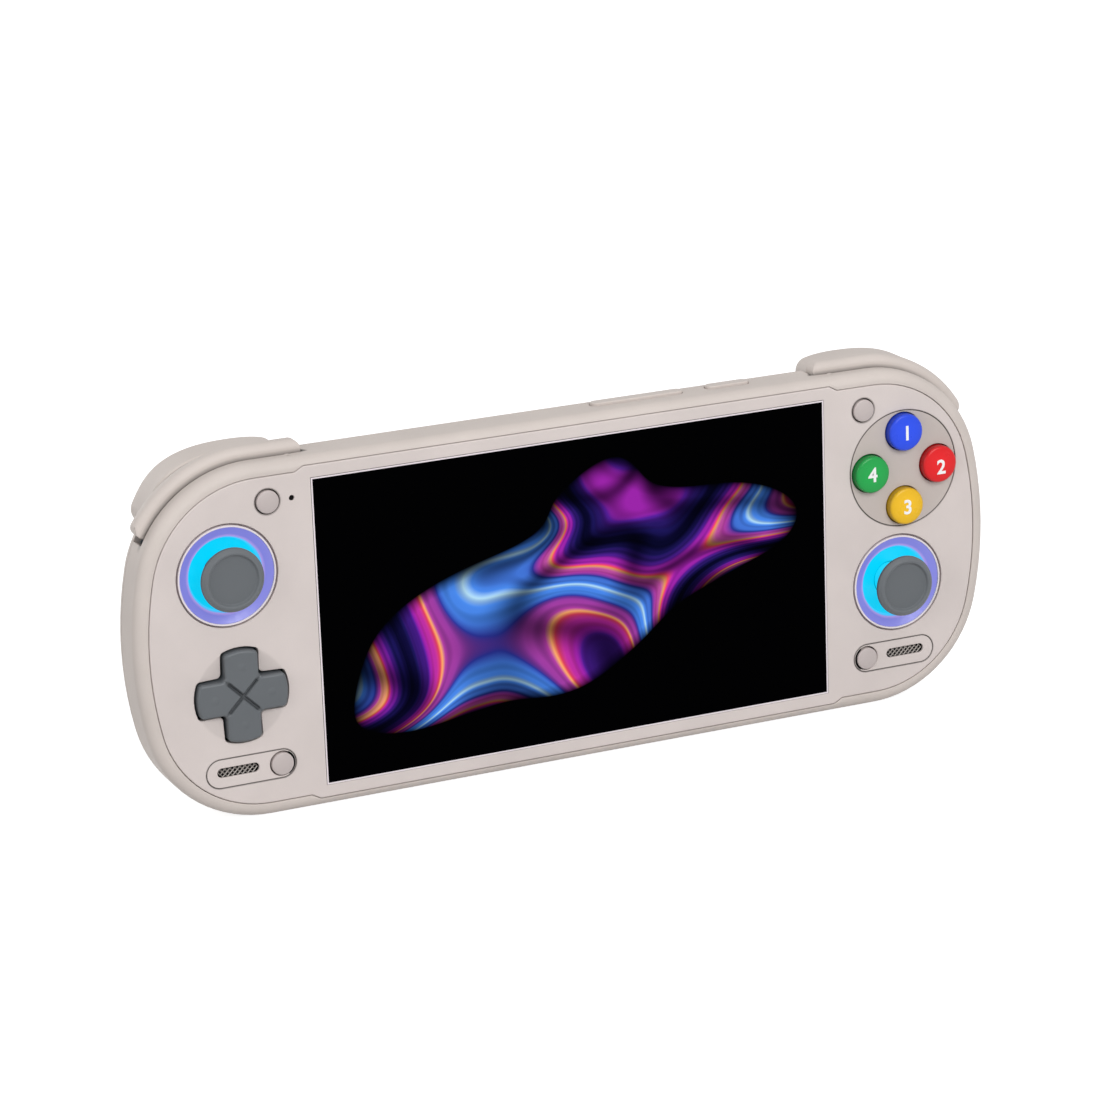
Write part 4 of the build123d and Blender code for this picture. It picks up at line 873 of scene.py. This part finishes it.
def make_screen_rim():
    """The thin light lip round the display glass."""
    low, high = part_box("display_glass")
    front = face_y + LIP_DEPTH * MM
    corners = ((low.x, low.z, 1, 1), (high.x, low.z, -1, 1), (high.x, high.z, -1, -1), (low.x, high.z, 1, -1))
    bm = bmesh.new()

    def ring(inset):
        return [
            bm.verts.new((x + turn_x * inset * MM, front, z + turn_z * inset * MM))
            for x, z, turn_x, turn_z in corners
        ]

    outer, inner = ring(-LIP_OVERLAP), ring(LIP_WIDTH)
    for step in range(4):
        follow = (step + 1) % 4
        bm.faces.new((outer[step], outer[follow], inner[follow], inner[step]))
    made = bmesh.ops.extrude_face_region(bm, geom=bm.faces[:])
    moved = [item for item in made["geom"] if isinstance(item, bmesh.types.BMVert)]
    bmesh.ops.translate(bm, verts=moved, vec=(0, LIP_THICKNESS * MM, 0))
    bmesh.ops.recalc_face_normals(bm, faces=bm.faces)
    soften(bm, ROUNDING["screen_rim"])
    piece_of(finish_mesh(bm, "screen_rim"), "root", cream_plastic)


def make_shoulders():
    """Bumpers and triggers."""
    for side in SIDES:
        for node in (f"bumper_{side}", f"trigger_{side}"):
            shell(node, f"{node}_shell", ROUNDING["shoulder"], case_plastic, segments=3)


def make_keys():
    """Volume rocker and power key."""
    for node in ("volume_rocker", "power_button"):
        shell(node, f"{node}_key", ROUNDING["top_key"], key_plastic)


def make_stick(side):
    """Cap, bezel ring and light guide of one stick."""
    cap = f"stick_cap_{side}"
    shell(cap, f"{cap}_rubber", ROUNDING["stick_cap"], cap_rubber(f"cap rubber {side}"), segments=3)
    bezel = f"stick_bezel_{side}"
    shell(bezel, f"{bezel}_ring", ROUNDING["stick_bezel"], cream_plastic)
    ring = f"light_ring_{side}"
    guide = light_guide(f"light guide {side}", centre_of(cap))
    shell(ring, f"{ring}_guide", ROUNDING["light_ring"], guide)


def make_face_button(name):
    """A face button with its number."""
    node = f"face_button_{name}"
    gloss = glossy(f"{name} button gloss", BUTTON_COLORS[name])
    shell(node, f"{node}_cap", ROUNDING["face_button"], gloss)
    text = bpy.data.curves.new(f"{node}_mark", "FONT")
    text.body = BUTTON_MARKS[name]
    text.size = MARK_SIZE * MM
    text.extrude = MARK_RISE * MM
    text.offset = MARK_WEIGHT * MM
    text.align_x = "CENTER"
    text.align_y = "CENTER"
    holder = bpy.data.objects.new("mark holder", text)
    mesh = bpy.data.meshes.new_from_object(holder)
    bpy.data.objects.remove(holder)
    mesh.name = f"{node}_mark"
    centre = centre_of(node)
    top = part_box(node)[0].y
    turn = Matrix.Rotation(math.radians(90), 4, "X")
    mesh.transform(Matrix.Translation((centre.x, top + MARK_GAP * MM, centre.z)) @ turn)
    middle = sum((vertex.co for vertex in mesh.vertices), Vector()) / len(mesh.vertices)
    mesh.transform(Matrix.Translation((centre.x - middle.x, 0, centre.z - middle.z)))
    piece_of(mesh, body_of[node], mark_white)


def make_small_buttons():
    """The round menu and speaker buttons."""
    for kind in ("menu", "speaker"):
        for side in SIDES:
            node = f"{kind}_button_{side}"
            shell(node, f"{node}_cap", ROUNDING["small_button"], small_key_plastic, segments=4)


def make_speaker(side):
    """The pill-shaped plate and the fine grille in its slot."""
    plate = f"speaker_plate_{side}"
    # Painted shade in the seam round the speaker plate
    plate_seam_shade = rim_seam_shade(plate, reach=0.20, share=0.62)
    plastic = moulded(f"plate plastic {side}", PLATE, 0.60, shades=[(plate_seam_shade, SEAM)])
    shell(plate, f"{plate}_shell", ROUNDING["speaker_plate"], plastic)
    node = f"speaker_mesh_{side}"
    low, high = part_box(node)
    middle = (low + high) / 2
    end_radius = (high.z - low.z) / 2
    end_x = (high.x - low.x) / 2 - end_radius
    cells = int((high.x - low.x) / MM * math.sqrt(2) / GRILLE_PITCH)
    bm = bmesh.new()
    bmesh.ops.create_grid(bm, x_segments=cells, y_segments=cells, size=cells * GRILLE_PITCH * MM / 2)
    lie = Matrix.Rotation(math.radians(90), 4, "X") @ Matrix.Rotation(math.radians(45), 4, "Z")
    bmesh.ops.transform(bm, matrix=Matrix.Translation(middle) @ lie, verts=bm.verts)

    def outside(point):
        across = max(abs(point.x - middle.x) - end_x, 0)
        return math.hypot(across, point.z - middle.z) > end_radius

    spare = [face for face in bm.faces if any(outside(vertex.co) for vertex in face.verts)]
    bmesh.ops.delete(bm, geom=spare, context="FACES")
    bmesh.ops.wireframe(
        bm, faces=bm.faces, thickness=GRILLE_WIRE * MM, use_replace=True, use_boundary=True,
        use_even_offset=True,
    )
    stand_in(finish_mesh(bm, f"{node}_wires"), node, grille_metal)


def make_screws():
    """Case screws, with a thin dark cross on each head as painted shade for a cross recess."""
    bm = merged_copy("case_screws")
    soften(bm, ROUNDING["case_screws"])
    stand_in(finish_mesh(bm, "case_screws_steel"), "case_screws", steel)
    back_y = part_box("case_screws")[1].y
    heads = []
    for vertex in frame["nodes"]["case_screws"].data.vertices:
        if vertex.co.y > back_y - SCREW_HEAD_DEPTH * MM:
            near = [points for points in heads if (points[0] - vertex.co).length < SCREW_HEAD_REACH * MM]
            if near:
                near[0].append(vertex.co.copy())
            else:
                heads.append([vertex.co.copy()])
    # Thin dark crosses laid on the heads as painted shade for cross recesses
    recess_shades = bmesh.new()
    for points in heads:
        rim_low, rim_high = [
            Vector(pick(point[axis] for point in points) for axis in range(3)) for pick in (min, max)
        ]
        middle = (rim_low + rim_high) / 2
        place = (middle.x, back_y - RECESS_SHADE_DEPTH * MM, middle.z)
        add_block(recess_shades, place, (RECESS_SHADE_LENGTH, RECESS_SHADE_HEIGHT, RECESS_SHADE_WIDTH))
        add_block(recess_shades, place, (RECESS_SHADE_WIDTH, RECESS_SHADE_HEIGHT, RECESS_SHADE_LENGTH))
    piece_of(finish_mesh(recess_shades, "screw_recess_shades"), body_of["case_screws"], black_plastic)


def make_port_contacts():
    """Gold contacts on the USB-C tongue."""
    low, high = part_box("usb_port")
    middle = (low + high) / 2
    bm = bmesh.new()
    for step in range(CONTACT_COUNT):
        x = middle.x + (step - (CONTACT_COUNT - 1) / 2) * CONTACT_PITCH * MM
        for face in (-1, 1):
            y = middle.y + face * CONTACT_OFFSET * MM
            add_block(bm, (x, y, low.z + CONTACT_RISE * MM), CONTACT_SIZE)
    piece_of(finish_mesh(bm, "usb_contacts"), "root", gold)


def finish_inner_nodes():
    """Finishes for the CAD nodes that stay as they are."""
    for node, thing in frame["nodes"].items():
        if thing.hide_render:
            continue
        lit = node.startswith(STICK_MODULE_NODES)
        thing.data.materials.clear()
        thing.data.materials.append(module_plastic if lit else SLOT_FINISHES[slot_of[node]])


# Stage

def seen_rays(wiring):
    """1 for rays from the camera and for those that gloss or glass sends on."""
    path = wiring.add("ShaderNodeLightPath")
    seen = wiring.math("ADD", path.outputs["Is Camera Ray"], path.outputs["Is Glossy Ray"], clamp=True)
    return wiring.math("ADD", seen, path.outputs["Is Transmission Ray"], clamp=True)


def make_floor():
    """A plain white floor that keeps the console's shadow."""
    bm = bmesh.new()
    bmesh.ops.create_grid(bm, x_segments=1, y_segments=1, size=FLOOR_REACH)
    bmesh.ops.translate(bm, verts=bm.verts, vec=(0, 0, cad_low.z - FLOOR_DROP * MM))
    floor = linked("floor", finish_mesh(bm, "floor"))
    wiring = Wiring("floor white")
    tree = wiring.tree
    tree.nodes.remove(wiring.shader)
    matte = wiring.add("ShaderNodeBsdfDiffuse")
    matte.inputs["Color"].default_value = (FLOOR_SEEN, FLOOR_SEEN, FLOOR_SEEN, 1)
    glow = wiring.add("ShaderNodeEmission")
    glow.inputs["Strength"].default_value = FLOOR_GLOW
    both = wiring.add("ShaderNodeAddShader")
    plain = wiring.add("ShaderNodeBsdfDiffuse")
    plain.inputs["Color"].default_value = (FLOOR_UNSEEN, FLOOR_UNSEEN, FLOOR_UNSEEN, 1)
    mix = wiring.add("ShaderNodeMixShader")
    for source, socket in (
        (matte.outputs[0], both.inputs[0]),
        (glow.outputs[0], both.inputs[1]),
        (seen_rays(wiring), mix.inputs[0]),
        (plain.outputs[0], mix.inputs[1]),
        (both.outputs[0], mix.inputs[2]),
        (mix.outputs[0], tree.nodes["Material Output"].inputs["Surface"]),
    ):
        tree.links.new(source, socket)
    floor.data.materials.append(wiring.material)


class WorldWiring(Wiring):
    """The world's nodes."""

    def __init__(self, world):
        world.use_nodes = True
        self.tree = world.node_tree


def make_world():
    """A plain light from all round that the camera sees as white."""
    world = bpy.data.worlds.new("studio")
    bpy.context.scene.world = world
    wiring = WorldWiring(world)
    background = world.node_tree.nodes["Background"]
    background.inputs["Color"].default_value = (1, 1, 1, 1)
    wiring.feed(background.inputs["Strength"], wiring.spread(seen_rays(wiring), WORLD_LEVEL, 1.0))


def make_lamp(name, place, size, power):
    """A soft square lamp that points at the console."""
    lamp = bpy.data.lights.new(name, "AREA")
    lamp.size = size
    lamp.energy = power
    holder = linked(name, lamp)
    holder.location = place
    target = (cad_low + cad_high) / 2
    holder.rotation_euler = (target - Vector(place)).to_track_quat("-Z", "Y").to_euler()


def make_camera():
    """The photograph's camera."""
    camera = bpy.data.cameras.new("camera")
    camera.sensor_width = SENSOR_WIDTH
    camera.lens = FOCAL_PIXELS / IMAGE_PIXELS * SENSOR_WIDTH
    camera.clip_start = 0.01
    camera.clip_end = 50
    holder = linked("camera", camera)
    back = CAMERA_RIGHT.cross(CAMERA_UP)
    turn = Matrix((CAMERA_RIGHT, CAMERA_UP, back)).transposed().to_4x4()
    holder.matrix_world = Matrix.Translation(CAMERA_PLACE) @ turn
    bpy.context.scene.camera = holder


make_camera()
make_world()
for name, (place, size, power) in LAMPS.items():
    make_lamp(name, place, size, power)
make_floor()
bpy.context.scene.view_settings.view_transform = "Standard"

make_case()
make_screen_rim()
make_shoulders()
make_keys()
shell("dpad", "dpad_cross", ROUNDING["dpad"], cross_plastic(), segments=3)
make_small_buttons()
for side in SIDES:
    make_stick(side)
    make_speaker(side)
for name in BUTTON_MARKS:
    make_face_button(name)
make_screws()
make_port_contacts()
finish_inner_nodes()
